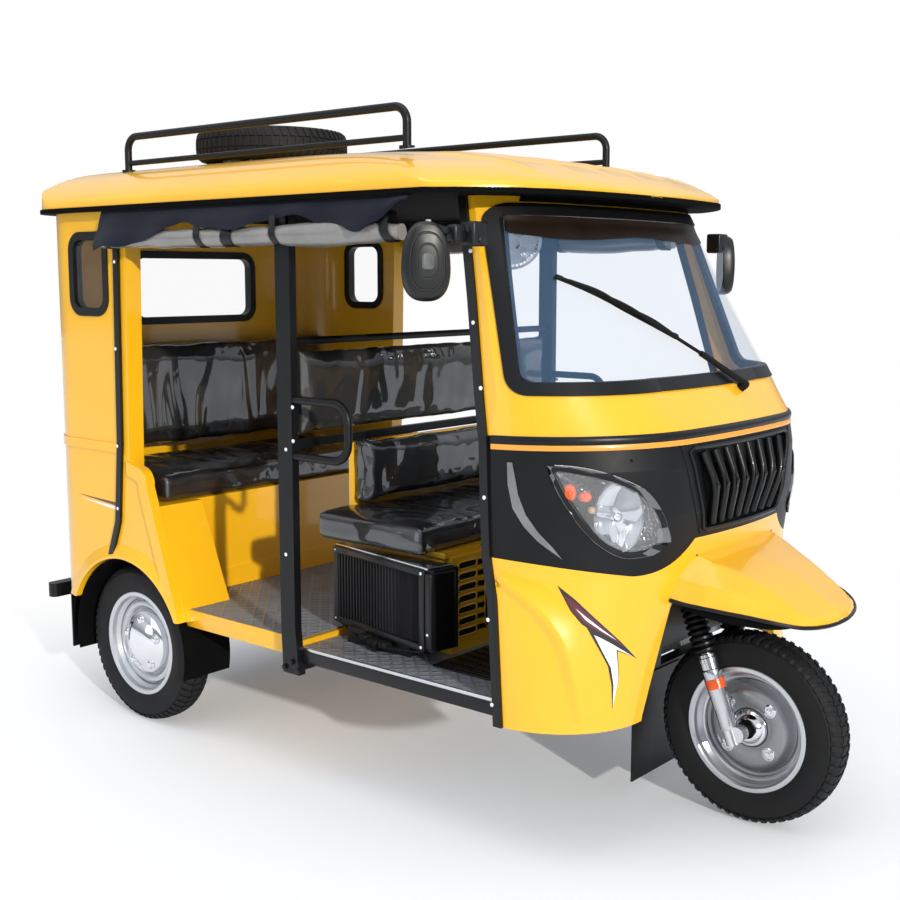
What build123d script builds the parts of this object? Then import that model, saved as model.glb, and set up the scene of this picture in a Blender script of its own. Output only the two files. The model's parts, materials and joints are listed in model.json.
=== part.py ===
from build123d import *
import os
from math import sin, cos, tan, radians

# Auto rickshaw: three-wheeled passenger carrier with an open-sided cabin.
# Millimetres. +X is forward, +Y is to the vehicle's left, +Z is up.
# Everything is drawn with x = 0 at the rear axle and z = 0 on the ground;
# save() then moves it so that the origin is under the middle of the vehicle.

# ---------------------------------------------------------------- wheels
WHEELBASE = 1963.0
TYRE_R = 268.0
TYRE_HALF_W = 55.0
TYRE_SHOULDER = 22.0
RIM_R = 165.0            # bead seat, where the tyre's bore sits
RIM_LIP_R = 176.0
RIM_LIP_T = 5.0
RIM_WALL = 4.0
BEAD_GAP = 0.3           # between the tyre's bore and the rim's seat
REAR_TRACK_HALF = 567.0  # mid-plane of each rear wheel
HUB_R = 32.0
SPINDLE_R = 12.0
SPINDLE_PLAY = 0.05      # radial, spindle in hub

# -------------------------------------------------------------- overall
REAR_END_X = -580.0      # rear face of the bumper bar
FRONT_END_X = WHEELBASE + TYRE_R   # front of the front tyre
FRAME_MID_X = (REAR_END_X + FRONT_END_X) / 2

# ----------------------------------------------------------------- body
WALL = 24.0              # body wall, outer skin to inner lining
BODY_HALF_W = 665.0
BODY_REAR_X = -445.0
REAR_CORNER_R = 180.0
BODY_LOW_Z = 400.0
SIDE_SEAM_X = BODY_REAR_X + REAR_CORNER_R + 15.0
EAVE_Z = 1712.0                    # underside of the ceiling and eave
CEILING_Z = EAVE_Z - 0.3           # where the walls and posts stop under it
STRIP_TOP = (24.0, CEILING_Z)      # door-post strip, (x, z) from the roof ...
STRIP_MID = (8.0, 960.0)
STRIP_LOW = (-16.0, 697.0)
STRIP_FOOT = (-69.0, 560.0)        # ... to the top of the wheel arch
ARCH_R = 302.0
ARCH_LIP = 13.0           # the flared arch lip stands this far out ...
ARCH_LIP_W = 46.0         # ... and is this wide
BELT_STEP = 5.0           # raised belt round the rear body
BELT_LOW_Z = 925.0
BELT_HIGH_Z = 957.0
HOUSING_IN_Y = 455.0               # inner wall of each rear wheel housing
FLOOR_Z = 435.0
FLOOR_T = 40.0
FLOOR_FRONT_X = 812.0
FLOOR_HALF_W = 620.0
BENCH_FRONT_X = 125.0
BENCH_TOP_Z = 760.0
BENCH_HALF_W = 600.0
PASS_CUSHION_T = 96.0
SILL_Z = 415.0
SILL_T = 42.0
SILL_HALF_W = 602.0
DRIVER_FLOOR_FRONT_X = 1600.0

# ----------------------------------------------------------------- roof
EAVE_T = 14.0
EAVE_HALF_W = 702.0
EAVE_REAR_X = -462.0
ROOF_TOP_Z = 1893.0
ROOF_CREST_Y = 500.0
ROOF_CREST_Z = 1850.0
ROOF_SHOULDER_Y = 668.0
ROOF_SHOULDER_Z = 1775.0
VISOR_TIP_X = 1618.0
ROOF_WALL = 22.0

# ------------------------------------------------------------ B-pillars
POST_X = 785.0
POST_HALF = 30.0
POST_Y = 640.0
POST_T = 26.0
POST_FOOT_Z = 335.0
HOOP_TUBE_R = 12.0
HOOP_FRONT_X = 1042.0
HOOP_LOW_Z = 987.0
HOOP_HIGH_Z = 1151.0
HOOP_BEND_R = 55.0

# ---------------------------------------------------------------- front
STEER_RAKE = 21.3                  # degrees back from vertical
FORK_X = 1812.0                    # the fork's line passes here ...
FORK_Z = 593.0                     # ... at this height
FORK_HALF = 88.0                   # legs stand this far from the middle
FORK_LEG_R = 21.0
FORK_SPRING_R = 34.0
MUDGUARD_T = 8.0

# Outer plan of the cab front at each height, half of it; the other half mirrors it.
# The side runs straight to (side_x, side_y), an arc turns the corner through
# (mid_x, mid_y) to (join_x, join_y), and a shallow arc crosses the nose at nose_x.
CAB_PLAN = [
    dict(z=355.0, side_x=1580.0, side_y=652.0, mid_x=1747.0, mid_y=583.0,
         join_x=1832.0, join_y=360.0, nose_x=1858.0),
    dict(z=745.0, side_x=1545.0, side_y=642.0, mid_x=1752.0, mid_y=530.0,
         join_x=1878.0, join_y=280.0, nose_x=1900.0),
    dict(z=900.0, side_x=1536.0, side_y=638.0, mid_x=1774.0, mid_y=520.0,
         join_x=1904.0, join_y=270.0, nose_x=1926.0),
    dict(z=1020.0, side_x=1532.0, side_y=635.0, mid_x=1774.0, mid_y=518.0,
         join_x=1904.0, join_y=270.0, nose_x=1924.0),
    dict(z=1105.0, side_x=1530.0, side_y=632.0, mid_x=1762.0, mid_y=516.0,
         join_x=1890.0, join_y=270.0, nose_x=1908.0),
    dict(z=1205.0, side_x=1535.0, side_y=618.0, mid_x=1718.0, mid_y=510.0,
         join_x=1805.0, join_y=265.0, nose_x=1825.0),
    dict(z=CEILING_Z, side_x=1392.0, side_y=535.0, mid_x=1463.0, mid_y=432.0,
         join_x=1500.0, join_y=250.0, nose_x=1515.0),
]
CAB_WALL = 18.0
MASK_LOW_Z = 749.0       # black mask: lowest point of its lower edge
MASK_STEP_Y = 236.0      # where that edge meets the wheel gap
BELT_Z = 1105.0          # black mask meets the yellow cowl
# Rear edge of the cab front in side view, (x, z) from the ground up
PILLAR_LINE = [(1590.0, 340.0), (1561.0, 683.0), (1540.0, 797.0), (1522.0, 1093.0),
               (1440.0, 1445.0), (1372.0, 1712.0)]
PILLAR_STRIP_W = 26.0
SCREEN_LOW_Z = 1208.0
SCREEN_HIGH_Z = 1694.0
SCREEN_REAR = [(1564.0, SCREEN_LOW_Z), (1407.0, SCREEN_HIGH_Z)]   # rear edge, side view
SCREEN_LOW_R = 72.0      # radius of the opening's lower rear corner
SCREEN_HIGH_R = 40.0
SEAL_W = 32.0
SEAL_OUT = 5.0           # the seal stands proud of the cowl
GLASS_T = 6.0

parts = []
os.makedirs("parts", exist_ok=True)


def save(shape, name):
    """Move a node into the part's own frame and write it."""
    placed = [Pos(-FRAME_MID_X, 0, 0) * solid for solid in solids(shape)]
    moved = placed[0] if len(placed) == 1 else Compound(children=placed)
    export_step(moved, f"parts/{name}.step")
    parts.append((name, moved))


def block(x0, x1, y0, y1, z0, z1):
    return Pos((x0 + x1) / 2, (y0 + y1) / 2, (z0 + z1) / 2) * Box(x1 - x0, y1 - y0, z1 - z0)


def slab_y(points, y0, y1):
    """Polygon of (x, z) points, extruded from y0 to y1."""
    wire = Polyline([(x, y0, z) for x, z in points], close=True)
    return extrude(make_face(wire), amount=y1 - y0, dir=(0, 1, 0))


def slab_x(points, x0, x1):
    """Polygon of (y, z) points, extruded from x0 to x1."""
    wire = Polyline([(x0, y, z) for y, z in points], close=True)
    return extrude(make_face(wire), amount=x1 - x0, dir=(1, 0, 0))


def slab_z(points, z0, z1):
    """Polygon of (x, y) points, extruded from z0 to z1."""
    wire = Polyline([(x, y, z0) for x, y in points], close=True)
    return extrude(make_face(wire), amount=z1 - z0, dir=(0, 0, 1))


def mirrored(shape):
    return mirror(shape, about=Plane.XZ)


def pair(shape):
    """The shape and its mirror image, as one compound of separate solids."""
    return Compound(children=solids(shape) + solids(mirrored(shape)))


def solids(shape):
    return list(shape.solids())


def ellipsoid(wide, deep, tall):
    """Rounded box standing in for a moulded housing."""
    body = Box(wide, deep, tall)
    body = fillet(body.edges().filter_by(Axis.Y), wide * 0.42)
    return fillet(body.edges().group_by(Axis.Y)[-1], deep * 0.45)


def group(*shapes):
    found = []
    for shape in shapes:
        found += solids(shape)
    return Compound(children=found)


def rod(start, end, radius):
    a, b = Vector(*start), Vector(*end)
    return Solid.make_cylinder(radius, (b - a).length, Plane(origin=a, z_dir=(b - a)))


def cylinder_y(x, z, radius, y0, y1):
    return rod((x, y0, z), (x, y1, z), radius)


def tube(points, radius, bend_r):
    """Round tube along straight runs joined by bends of radius bend_r."""
    corners = [Vector(*p) for p in points]
    at, path = corners[0], []
    for before, corner, after in zip(corners, corners[1:], corners[2:]):
        run_in, run_out = (corner - before).normalized(), (after - corner).normalized()
        turn = radians(run_in.get_angle(run_out))
        reach = bend_r * tan(turn / 2)
        inward = (run_out - run_in).normalized()
        path.append(Line(at, corner - run_in * reach))
        path.append(ThreePointArc(corner - run_in * reach,
                                  corner + inward * (bend_r / cos(turn / 2) - bend_r),
                                  corner + run_out * reach))
        at = corner + run_out * reach
    path.append(Line(at, corners[-1]))
    wire = Wire(path)
    section = Plane(origin=corners[0], z_dir=wire % 0) * Circle(radius)
    return sweep(section, path=wire)


# ------------------------------------------------------------------------
# Wheels: a tyre and a pressed steel rim, drawn about the Y axis at the origin
# ------------------------------------------------------------------------
def revolve_about_y(points):
    """Closed profile of (radius, y) points revolved about the Y axis."""
    wire = Polyline([(r, y, 0) for r, y in points], close=True)
    return revolve(make_face(wire), axis=Axis.Y)


def tyre():
    half, crown = TYRE_HALF_W, TYRE_R
    bead = RIM_R + BEAD_GAP
    bead_half = half - RIM_LIP_T - BEAD_GAP - 6
    belly = (RIM_LIP_R + crown) / 2 + 4
    with_side = TYRE_SHOULDER
    profile = (
        Line((bead, -bead_half, 0), (RIM_LIP_R + 8, -bead_half, 0))
        + ThreePointArc((RIM_LIP_R + 8, -bead_half, 0), (belly, -half, 0),
                        (crown - with_side, -half + 6, 0))
        + ThreePointArc((crown - with_side, -half + 6, 0), (crown - 7, -half + 16, 0),
                        (crown - 3, -half + 26, 0))
        + ThreePointArc((crown - 3, -half + 26, 0), (crown, 0, 0), (crown - 3, half - 26, 0))
        + ThreePointArc((crown - 3, half - 26, 0), (crown - 7, half - 16, 0),
                        (crown - with_side, half - 6, 0))
        + ThreePointArc((crown - with_side, half - 6, 0), (belly, half, 0),
                        (RIM_LIP_R + 8, bead_half, 0))
        + Line((RIM_LIP_R + 8, bead_half, 0), (bead, bead_half, 0))
        + Line((bead, bead_half, 0), (bead, -bead_half, 0))
    )
    return revolve(make_face(profile), axis=Axis.Y)


CAP_R = 108.0            # polished cap of a rear wheel
NUTS = dict(count=5, circle_r=84.0, head_r=15.0, front=(22.0, 40.0), rear=(34.0, 52.0))


def rim(hub_half, outer_sign, capped=False):
    """Pressed steel wheel: rim channel, dished disc and hub; outer_sign is +1 or -1."""
    lip_y = TYRE_HALF_W - 6
    channel = revolve_about_y([
        (RIM_R, -lip_y + RIM_LIP_T), (RIM_LIP_R, -lip_y + RIM_LIP_T), (RIM_LIP_R, -lip_y),
        (RIM_R - RIM_WALL, -lip_y), (RIM_R - RIM_WALL - 10, -18), (RIM_R - RIM_WALL - 10, 18),
        (RIM_R - RIM_WALL, lip_y), (RIM_LIP_R, lip_y), (RIM_LIP_R, lip_y - RIM_LIP_T),
        (RIM_R, lip_y - RIM_LIP_T)])
    s = outer_sign
    disc = revolve_about_y([
        (HUB_R - 4, s * 12), (70, s * 12), (92, s * 26), (118, s * 26), (140, s * 4),
        (RIM_R - RIM_WALL - 8, s * -2), (RIM_R - RIM_WALL - 8, s * -8), (136, s * -2),
        (114, s * 20), (96, s * 20), (74, s * 6), (HUB_R - 4, s * 6)])
    hub = cylinder_y(0, 0, HUB_R, -hub_half, hub_half)
    bore = cylinder_y(0, 0, SPINDLE_R + SPINDLE_PLAY, -hub_half - 1, hub_half + 1)
    if capped:
        cap = revolve_about_y([(HUB_R - 4, s * 10), (CAP_R, s * 10), (CAP_R - 2, s * 32),
                               (64, s * 37), (HUB_R - 4, s * (hub_half - 2))])
        disc = disc + cap
    start, end = NUTS["rear" if capped else "front"]
    heads = [cylinder_y(NUTS["circle_r"] * cos(radians(90 + 360 / NUTS["count"] * i)),
                        NUTS["circle_r"] * sin(radians(90 + 360 / NUTS["count"] * i)),
                        NUTS["head_r"], min(s * start, s * end), max(s * start, s * end))
             for i in range(NUTS["count"])]
    whole = channel + disc + hub
    for head in heads:
        whole = whole + head
    return whole - bore


FRONT_HUB_HALF = 42.0
REAR_HUB_HALF = 40.0


def make_wheels():
    front_at = Pos(WHEELBASE, 0, TYRE_R)
    save(front_at * tyre(), "front_tyre")
    save(front_at * rim(FRONT_HUB_HALF, -1), "front_rim")
    for side, sign in (("left", 1), ("right", -1)):
        at = Pos(0, sign * REAR_TRACK_HALF, TYRE_R)
        save(at * tyre(), f"rear_{side}_tyre")
        save(at * rim(REAR_HUB_HALF, sign, capped=True), f"rear_{side}_rim")


# ------------------------------------------------------------------------
# Steering: raked telescopic fork, stem and handlebar
# ------------------------------------------------------------------------
RAKE = radians(STEER_RAKE)
STEER_DIR = Vector(-sin(RAKE), 0, cos(RAKE))


def on_fork(height, y=0.0, ahead=0.0):
    """Point on the fork's line at this height, moved ahead at right angles to it."""
    x = FORK_X - (height - FORK_Z) * tan(RAKE)
    return (x + ahead * cos(RAKE), y, height + ahead * sin(RAKE))


CROWN_Z = 640.0
STEM_TOP_Z = 985.0
BAR_Z = 1010.0
STEM_R = 17.0
STEM_PLAY = 0.05


def fork():
    legs = []
    for sign in (1, -1):
        y = sign * FORK_HALF
        upper = rod(on_fork(400, y), on_fork(CROWN_Z, y), FORK_LEG_R - 4)
        lower = rod(on_fork(236, y), on_fork(470, y), FORK_LEG_R)
        lug = rod((WHEELBASE, y - sign * 18, TYRE_R), (WHEELBASE, y + sign * 14, TYRE_R), 22)
        legs.append(upper + lower + lug)
    crown_at = Plane(origin=on_fork(CROWN_Z), z_dir=STEER_DIR)
    crown = crown_at * Box(56, 2 * FORK_HALF + 60, 26)
    stem = rod(on_fork(CROWN_Z), on_fork(STEM_TOP_Z), STEM_R)
    spindle = cylinder_y(WHEELBASE, TYRE_R, SPINDLE_R, -FORK_HALF, FORK_HALF)
    return legs[0] + legs[1] + crown + stem + spindle


SPRING_LOW_Z = 480.0
SPRING_HIGH_Z = CROWN_Z - 20
SPRING_TURNS = 6


def fork_springs():
    """Bellows over each fork leg: a sleeve with rings."""
    pitch = (SPRING_HIGH_Z - SPRING_LOW_Z) / SPRING_TURNS
    boots = []
    for sign in (1, -1):
        y = sign * FORK_HALF
        boot = rod(on_fork(SPRING_LOW_Z, y), on_fork(SPRING_HIGH_Z, y), FORK_SPRING_R - 7)
        for i in range(SPRING_TURNS):
            mid = SPRING_LOW_Z + pitch * (i + 0.5)
            boot = boot + rod(on_fork(mid - pitch * 0.27, y), on_fork(mid + pitch * 0.27, y),
                              FORK_SPRING_R)
        boots.append(boot - rod(on_fork(SPRING_LOW_Z - 2, y), on_fork(SPRING_HIGH_Z + 2, y),
                                FORK_LEG_R - 4 + 0.3))
    return group(*boots)


def handlebar():
    top = on_fork(STEM_TOP_Z)
    clamp = Plane(origin=top, z_dir=STEER_DIR) * Pos(0, 0, 18) * Box(60, 90, 36)
    bar = tube([(top[0] - 175, -285, BAR_Z + 12), (top[0] - 60, -235, BAR_Z + 22),
                (top[0] + 6, -60, BAR_Z + 8), (top[0] + 6, 60, BAR_Z + 8),
                (top[0] - 60, 235, BAR_Z + 22), (top[0] - 175, 285, BAR_Z + 12)], 11, 30)
    return clamp + bar


def make_steering():
    save(fork(), "steering_fork")
    save(fork_springs(), "fork_springs")
    save(handlebar(), "handlebar")


# ------------------------------------------------------------------------
# Frame, axle and what hangs under the floor
# ------------------------------------------------------------------------
RAIL_Y = 300.0
RAIL_HALF = 22.0
RAIL_TOP_Z = FLOOR_Z - FLOOR_T
RAIL_LOW_Z = RAIL_TOP_Z - 55.0
RAIL_FRONT_X = 1650.0


def frame_rails():
    y0, y1 = RAIL_Y - RAIL_HALF, RAIL_Y + RAIL_HALF
    low = block(-400, RAIL_FRONT_X, y0, y1, RAIL_LOW_Z, SILL_Z - SILL_T)
    step = block(-400, FLOOR_FRONT_X - 0.3, y0, y1, SILL_Z - SILL_T - 1, RAIL_TOP_Z)
    return pair(low + step)


def frame_cross_members():
    inner = RAIL_Y - RAIL_HALF
    outer = RAIL_Y + RAIL_HALF
    pieces = [block(x - 22, x + 22, -inner, inner, RAIL_LOW_Z, RAIL_TOP_Z - 22)
              for x in (-360.0, 350.0, POST_X, 1200.0, RAIL_FRONT_X - 22)]
    pieces += [block(POST_X - 26, POST_X + 26, outer, POST_Y - POST_T / 2, RAIL_LOW_Z,
                     RAIL_TOP_Z - 22),
               block(POST_X - 26, POST_X + 26, -(POST_Y - POST_T / 2), -outer, RAIL_LOW_Z,
                     RAIL_TOP_Z - 22)]
    pieces[4] = pieces[4] + steering_head()
    pieces[3] = pieces[3] + block(900, 1205, -277, -60, 300, RAIL_LOW_Z + 10) \
        + block(920, 1116, -277, -70, 214, 305)
    return group(*pieces)


HEAD_WALL = 13.0
HEAD_LOW_Z = CROWN_Z + 40
HEAD_HIGH_Z = STEM_TOP_Z - 60


def steering_head():
    """Tube that holds the fork's stem, on a gusset from the front cross member."""
    inside = rod(on_fork(CROWN_Z), on_fork(STEM_TOP_Z), STEM_R + STEM_PLAY)
    head = rod(on_fork(HEAD_LOW_Z), on_fork(HEAD_HIGH_Z), STEM_R + HEAD_WALL)
    gusset = slab_y([(RAIL_FRONT_X - 40, RAIL_TOP_Z - 24), (RAIL_FRONT_X, RAIL_TOP_Z - 24),
                     (RAIL_FRONT_X + 18, 700), (on_fork(760)[0], 760),
                     (on_fork(860)[0], 860), (RAIL_FRONT_X - 34, 740)], -24, 24)
    return (head + gusset) - inside


ARM_PIVOT_X = 420.0
ARM_Y = 400.0
ENGINE_HALF_W = 230.0


def trailing_arms():
    """Rear suspension arms with the stub axles that carry the rear wheels."""
    arm = slab_y([(ARM_PIVOT_X - 25, 330), (ARM_PIVOT_X + 25, 330), (ARM_PIVOT_X + 25, 385),
                  (ARM_PIVOT_X - 25, 385), (20, TYRE_R + 34), (-60, TYRE_R + 34),
                  (-60, TYRE_R - 30), (20, TYRE_R - 30)], ARM_Y, ARM_Y + 40)
    knuckle = cylinder_y(0, TYRE_R, 46, ARM_Y + 20, REAR_TRACK_HALF - REAR_HUB_HALF - 1)
    stub = cylinder_y(0, TYRE_R, SPINDLE_R, ARM_Y + 30, REAR_TRACK_HALF + REAR_HUB_HALF)
    pivot = cylinder_y(ARM_PIVOT_X, 357, 20, RAIL_Y + RAIL_HALF, ARM_Y + 5)
    half_shaft = cylinder_y(-40, TYRE_R, 18, ENGINE_HALF_W, ARM_Y + 5)
    damper = rod((-35, ARM_Y + 20, TYRE_R + 20), (-110, ARM_Y + 20, 700), 15)
    spring = rod((-48, ARM_Y + 20, 380), (-102, ARM_Y + 20, 640), 32)
    return pair(arm + knuckle + stub + pivot + half_shaft + damper + spring)


def engine():
    return block(-330, 40, -ENGINE_HALF_W, ENGINE_HALF_W, 210, 560)


def rear_bumper():
    bar = block(REAR_END_X, REAR_END_X + 45, -600, 600, 335, 385)
    bar = fillet(bar.edges().filter_by(Axis.Z), 20)
    arms = [block(REAR_END_X + 40, -400, y - 20, y + 20, 345, 375) for y in (-300, 300)]
    return bar + arms[0] + arms[1]


def make_frame():
    save(frame_rails(), "frame_rails")
    save(frame_cross_members(), "frame_cross_members")
    save(trailing_arms(), "rear_suspension")
    save(engine(), "engine_block")
    save(rear_bumper(), "rear_bumper")
    save(mudflaps(), "mudflaps")


FLAP_T = 5.0


def mudflaps():
    """Rubber flaps behind the three wheels."""
    rear = block(-362, -362 + FLAP_T, 500, 640, 195, BODY_LOW_Z - 0.3)
    front = block(RAIL_FRONT_X + 0.3, RAIL_FRONT_X + FLAP_T, -130, 130, 62, RAIL_TOP_Z - 30)
    return group(pair(rear), front)


# ------------------------------------------------------------------------
# Rear body: floor, walls, wheel housings
# ------------------------------------------------------------------------
def rear_plan(inset, front_x, z0, z1):
    """Solid of the rear body's plan, rounded at the two rear corners."""
    w, r = BODY_HALF_W - inset, REAR_CORNER_R - inset
    x = BODY_REAR_X + inset
    body = block(x, front_x, -w, w, z0, z1)
    edges = body.edges().filter_by(Axis.Z).group_by(Axis.X)[0]
    return fillet(edges, r)


def body_ring():
    outer = rear_plan(0, 320, BODY_LOW_Z, CEILING_Z)
    belt = rear_plan(-BELT_STEP, 320, BELT_LOW_Z, BELT_HIGH_Z)
    inner = rear_plan(WALL, 321, BODY_LOW_Z - 1, CEILING_Z + 1)
    return (outer + belt) - inner


def arch_lip():
    """Flared lip round the left wheel arch."""
    w = BODY_HALF_W
    ring = revolve_about_y([(ARCH_R, w - 3), (ARCH_R, w + ARCH_LIP),
                            (ARCH_R + 8, w + ARCH_LIP), (ARCH_R + ARCH_LIP_W, w + 0.5),
                            (ARCH_R + ARCH_LIP_W, w - 3)])
    return (Pos(0, 0, TYRE_R) * ring) & block(-500, 500, 600, 700, BODY_LOW_Z, 900)


REAR_WINDOW = (280.0, 1345.0, 1577.0)          # half width, sill, head
QUARTER_WINDOW = (-229.0, -53.0, 1393.0, 1629.0)  # rear x, front x, sill, head
WINDOW_R = 42.0
WINDOW_SEAL = 20.0


def rear_window_prism(grow):
    half, low, high = REAR_WINDOW
    hole = block(BODY_REAR_X - 30, BODY_REAR_X + WALL + 30, -half - grow, half + grow,
                 low - grow, high + grow)
    return fillet(hole.edges().filter_by(Axis.X), WINDOW_R + grow)


def quarter_window_prism(grow):
    x0, x1, low, high = QUARTER_WINDOW
    hole = block(x0 - grow, x1 + grow, BODY_HALF_W - WALL - 30, BODY_HALF_W + 30,
                 low - grow, high + grow)
    return fillet(hole.edges().filter_by(Axis.Y), WINDOW_R + grow)


def rear_wall():
    ring = body_ring()
    part = ring & block(BODY_REAR_X - 5, SIDE_SEAM_X, -BODY_HALF_W - 5, BODY_HALF_W + 5,
                        BODY_LOW_Z, CEILING_Z)
    arch = cylinder_y(0, TYRE_R, ARCH_R, -BODY_HALF_W - 5, BODY_HALF_W + 5)
    notch = arch & block(-400, 400, -BODY_HALF_W - 9, BODY_HALF_W + 9, 0, 700)
    middle = block(-400, 400, -HOUSING_IN_Y, HOUSING_IN_Y, 0, 700)
    lips = pair(arch_lip() & block(-500, SIDE_SEAM_X, 600, 700, BODY_LOW_Z, 900))
    return part + lips - (notch - middle) - rear_window_prism(0)


def strip_line(offset):
    """Side-view line of the door-post strip moved forward by offset."""
    return [(STRIP_TOP[0] + offset, STRIP_TOP[1]), (STRIP_MID[0] + offset, STRIP_MID[1]),
            (STRIP_LOW[0] + offset, STRIP_LOW[1]), (STRIP_FOOT[0] + offset, STRIP_FOOT[1])]


# Front edge of the armrest panel in side view: level, round the elbow, down to the floor
REST_START = (30.0, 905.0)
REST_ELBOW = (104.0, 887.0)
REST_TURN = (146.0, 828.0)
REST_FOOT = (290.0, BODY_LOW_Z)
REST_LIP_W = 44.0
REST_LIP_OUT = 9.0


def side_panel():
    """Left side panel behind the door-post strip, with the quarter window cut."""
    line = strip_line(0)
    face = [(SIDE_SEAM_X, BODY_LOW_Z), (SIDE_SEAM_X, CEILING_Z)] + line + [
        (STRIP_FOOT[0], BODY_LOW_Z)]
    panel = slab_y(face, BODY_HALF_W - WALL, BODY_HALF_W)
    belt = slab_y(face, BODY_HALF_W - 2, BODY_HALF_W + BELT_STEP) \
        & block(-500, 300, 600, 700, BELT_LOW_Z, BELT_HIGH_Z)
    lip = arch_lip() & slab_y(face, 600, 700)
    arch = cylinder_y(0, TYRE_R, ARCH_R, BODY_HALF_W - WALL - 5, BODY_HALF_W + 20)
    return panel + belt + lip - arch - quarter_window_prism(0)


def rest_face(inset):
    """Side-view face of the armrest panel, its front edge moved in by inset."""
    line = strip_line(0)
    sx, sz = REST_START
    ex, ez = REST_ELBOW
    tx, tz = REST_TURN
    fx, fz = REST_FOOT
    top = Line((sx, 0, sz - inset), (ex - inset * 0.3, 0, ez - inset))
    elbow = ThreePointArc(top @ 1, (ex + 32 - inset * 0.8, 0, ez - 20 - inset * 0.7),
                          (tx - inset, 0, tz - inset * 0.35))
    foot = Line(elbow @ 1, (fx - inset, 0, fz))
    back = Polyline([(fx - inset, 0, fz), (STRIP_FOOT[0], 0, fz),
                     (STRIP_FOOT[0], 0, STRIP_FOOT[1]), (line[2][0], 0, line[2][1]),
                     (STRIP_MID[0], 0, 925.0), (sx, 0, sz - inset)])
    return make_face(top + elbow + foot + back)


def rest_slab(inset, y0, y1):
    return Pos(0, y0, 0) * extrude(rest_face(inset), amount=y1 - y0, dir=(0, 1, 0))


def quarter_panel():
    """Lower panel ahead of the strip, curving down to the floor as an armrest."""
    w = BODY_HALF_W
    panel = rest_slab(0, w - WALL, w)
    lip = rest_slab(0, w - 2, w + REST_LIP_OUT) - rest_slab(REST_LIP_W, w - 3, w + 20)
    lip = lip & block(40, 400, 600, 700, BODY_LOW_Z, 1000)
    round_arch = arch_lip() & rest_slab(0, 600, 700)
    arch = cylinder_y(0, TYRE_R, ARCH_R, w - WALL - 5, w + 20)
    return panel + lip + round_arch - arch


def door_post():
    """Upright behind the entry, from armrest to ceiling, just inside the strip."""
    return slab_y([(STRIP_TOP[0] + 0.3, CEILING_Z), (STRIP_MID[0] + 0.3, 880),
                   (STRIP_MID[0] + 36, 880), (STRIP_TOP[0] + 40, CEILING_Z)],
                  BODY_HALF_W - 60, BODY_HALF_W - 2)


def wheel_housing():
    """Left housing over the rear wheel: arch, inner wall and front face."""
    y0, y1 = HOUSING_IN_Y, BODY_HALF_W - WALL - 0.3
    outer = [(-SIDE_SEAM_X * -1, BODY_LOW_Z), (-240, 560), (-200, BENCH_TOP_Z - 1),
             (BENCH_FRONT_X + 26, BENCH_TOP_Z - 1), (284, FLOOR_Z), (296, BODY_LOW_Z)]
    shell = slab_y(outer, y0, y1)
    cavity_arch = cylinder_y(0, TYRE_R, ARCH_R, y0 + 18, y1 + 5)
    inside = slab_y([(-205, 620), (-190, BENCH_TOP_Z - 20), (BENCH_FRONT_X + 14,
                     BENCH_TOP_Z - 20), (170, 620)], y0 + 18, y1 - 18)
    arch_cover = cylinder_y(0, TYRE_R, ARCH_R + 16, y0 + 10, y1)
    return shell - cavity_arch - (inside - arch_cover)


BULKHEAD_BACK, BULKHEAD_FRONT = 6.0, 12.0   # its faces either side of the post line
TREAD_T = 4.0             # chequered plate on the passenger floor
TREAD_EDGE = 16.0         # bare margin at the open sides
TREAD_CORNER = 70.0       # its front corners are cut off beside the centre posts


def tread_plate():
    """Raised plate on the floor between the bench front, the partition and the sills."""
    x0, x1 = BENCH_FRONT_X + 30, POST_X - BULKHEAD_BACK - 0.3
    w, narrow = FLOOR_HALF_W - TREAD_EDGE, HOUSING_IN_Y - 3
    half = [(x0, narrow), (REST_FOOT[0] + 22, narrow), (REST_FOOT[0] + 22, w),
            (x1 - TREAD_CORNER, w), (x1, w - TREAD_CORNER)]
    other = [(x, -y) for x, y in reversed(half)]
    return slab_z(half + other, FLOOR_Z - TREAD_T, FLOOR_Z)


def floor_pan():
    pan = slab_z([(-415, -HOUSING_IN_Y), (300, -HOUSING_IN_Y), (300, -FLOOR_HALF_W),
                  (FLOOR_FRONT_X, -FLOOR_HALF_W), (FLOOR_FRONT_X, FLOOR_HALF_W),
                  (300, FLOOR_HALF_W), (300, HOUSING_IN_Y), (-415, HOUSING_IN_Y)],
                 FLOOR_Z - FLOOR_T, FLOOR_Z - TREAD_T)
    slot = group(*[block(POST_X - POST_HALF - 0.3, POST_X + POST_HALF + 0.3,
                         s * POST_Y - 14, s * POST_Y + 14, 300, 500) for s in (1, -1)])
    engine_hole = block(-335, 45, -235, 235, 380, 440)
    damper_holes = pair(block(-150, 60, 380, 470, 380, 440))
    return pan + tread_plate() - slot - engine_hole - damper_holes


def make_body():
    save(floor_pan(), "passenger_floor")
    save(rear_wall(), "rear_wall")
    save(pair(side_panel()), "side_panels")
    save(pair(quarter_panel() + door_post()), "quarter_panels")
    save(pair(wheel_housing()), "wheel_housings")
    save(group(rear_window_glass(), pair(quarter_window_glass())), "cabin_windows")
    save(group(rear_window_seal(), pair(quarter_window_seal())), "cabin_window_seals")


SEAL_LAP = 7.0            # seal inside the hole, where it grips the pane
SEAL_PROUD = 5.0          # seal outside and inside the wall


def rear_window_glass():
    x = BODY_REAR_X + WALL / 2
    return rear_window_prism(-SEAL_LAP - 0.3) & block(x - 3, x + 3, -400, 400, 1200, 1700)


def quarter_window_glass():
    y = BODY_HALF_W - WALL / 2
    return quarter_window_prism(-SEAL_LAP - 0.3) & block(-300, 100, y - 3, y + 3, 1200, 1700)


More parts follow.
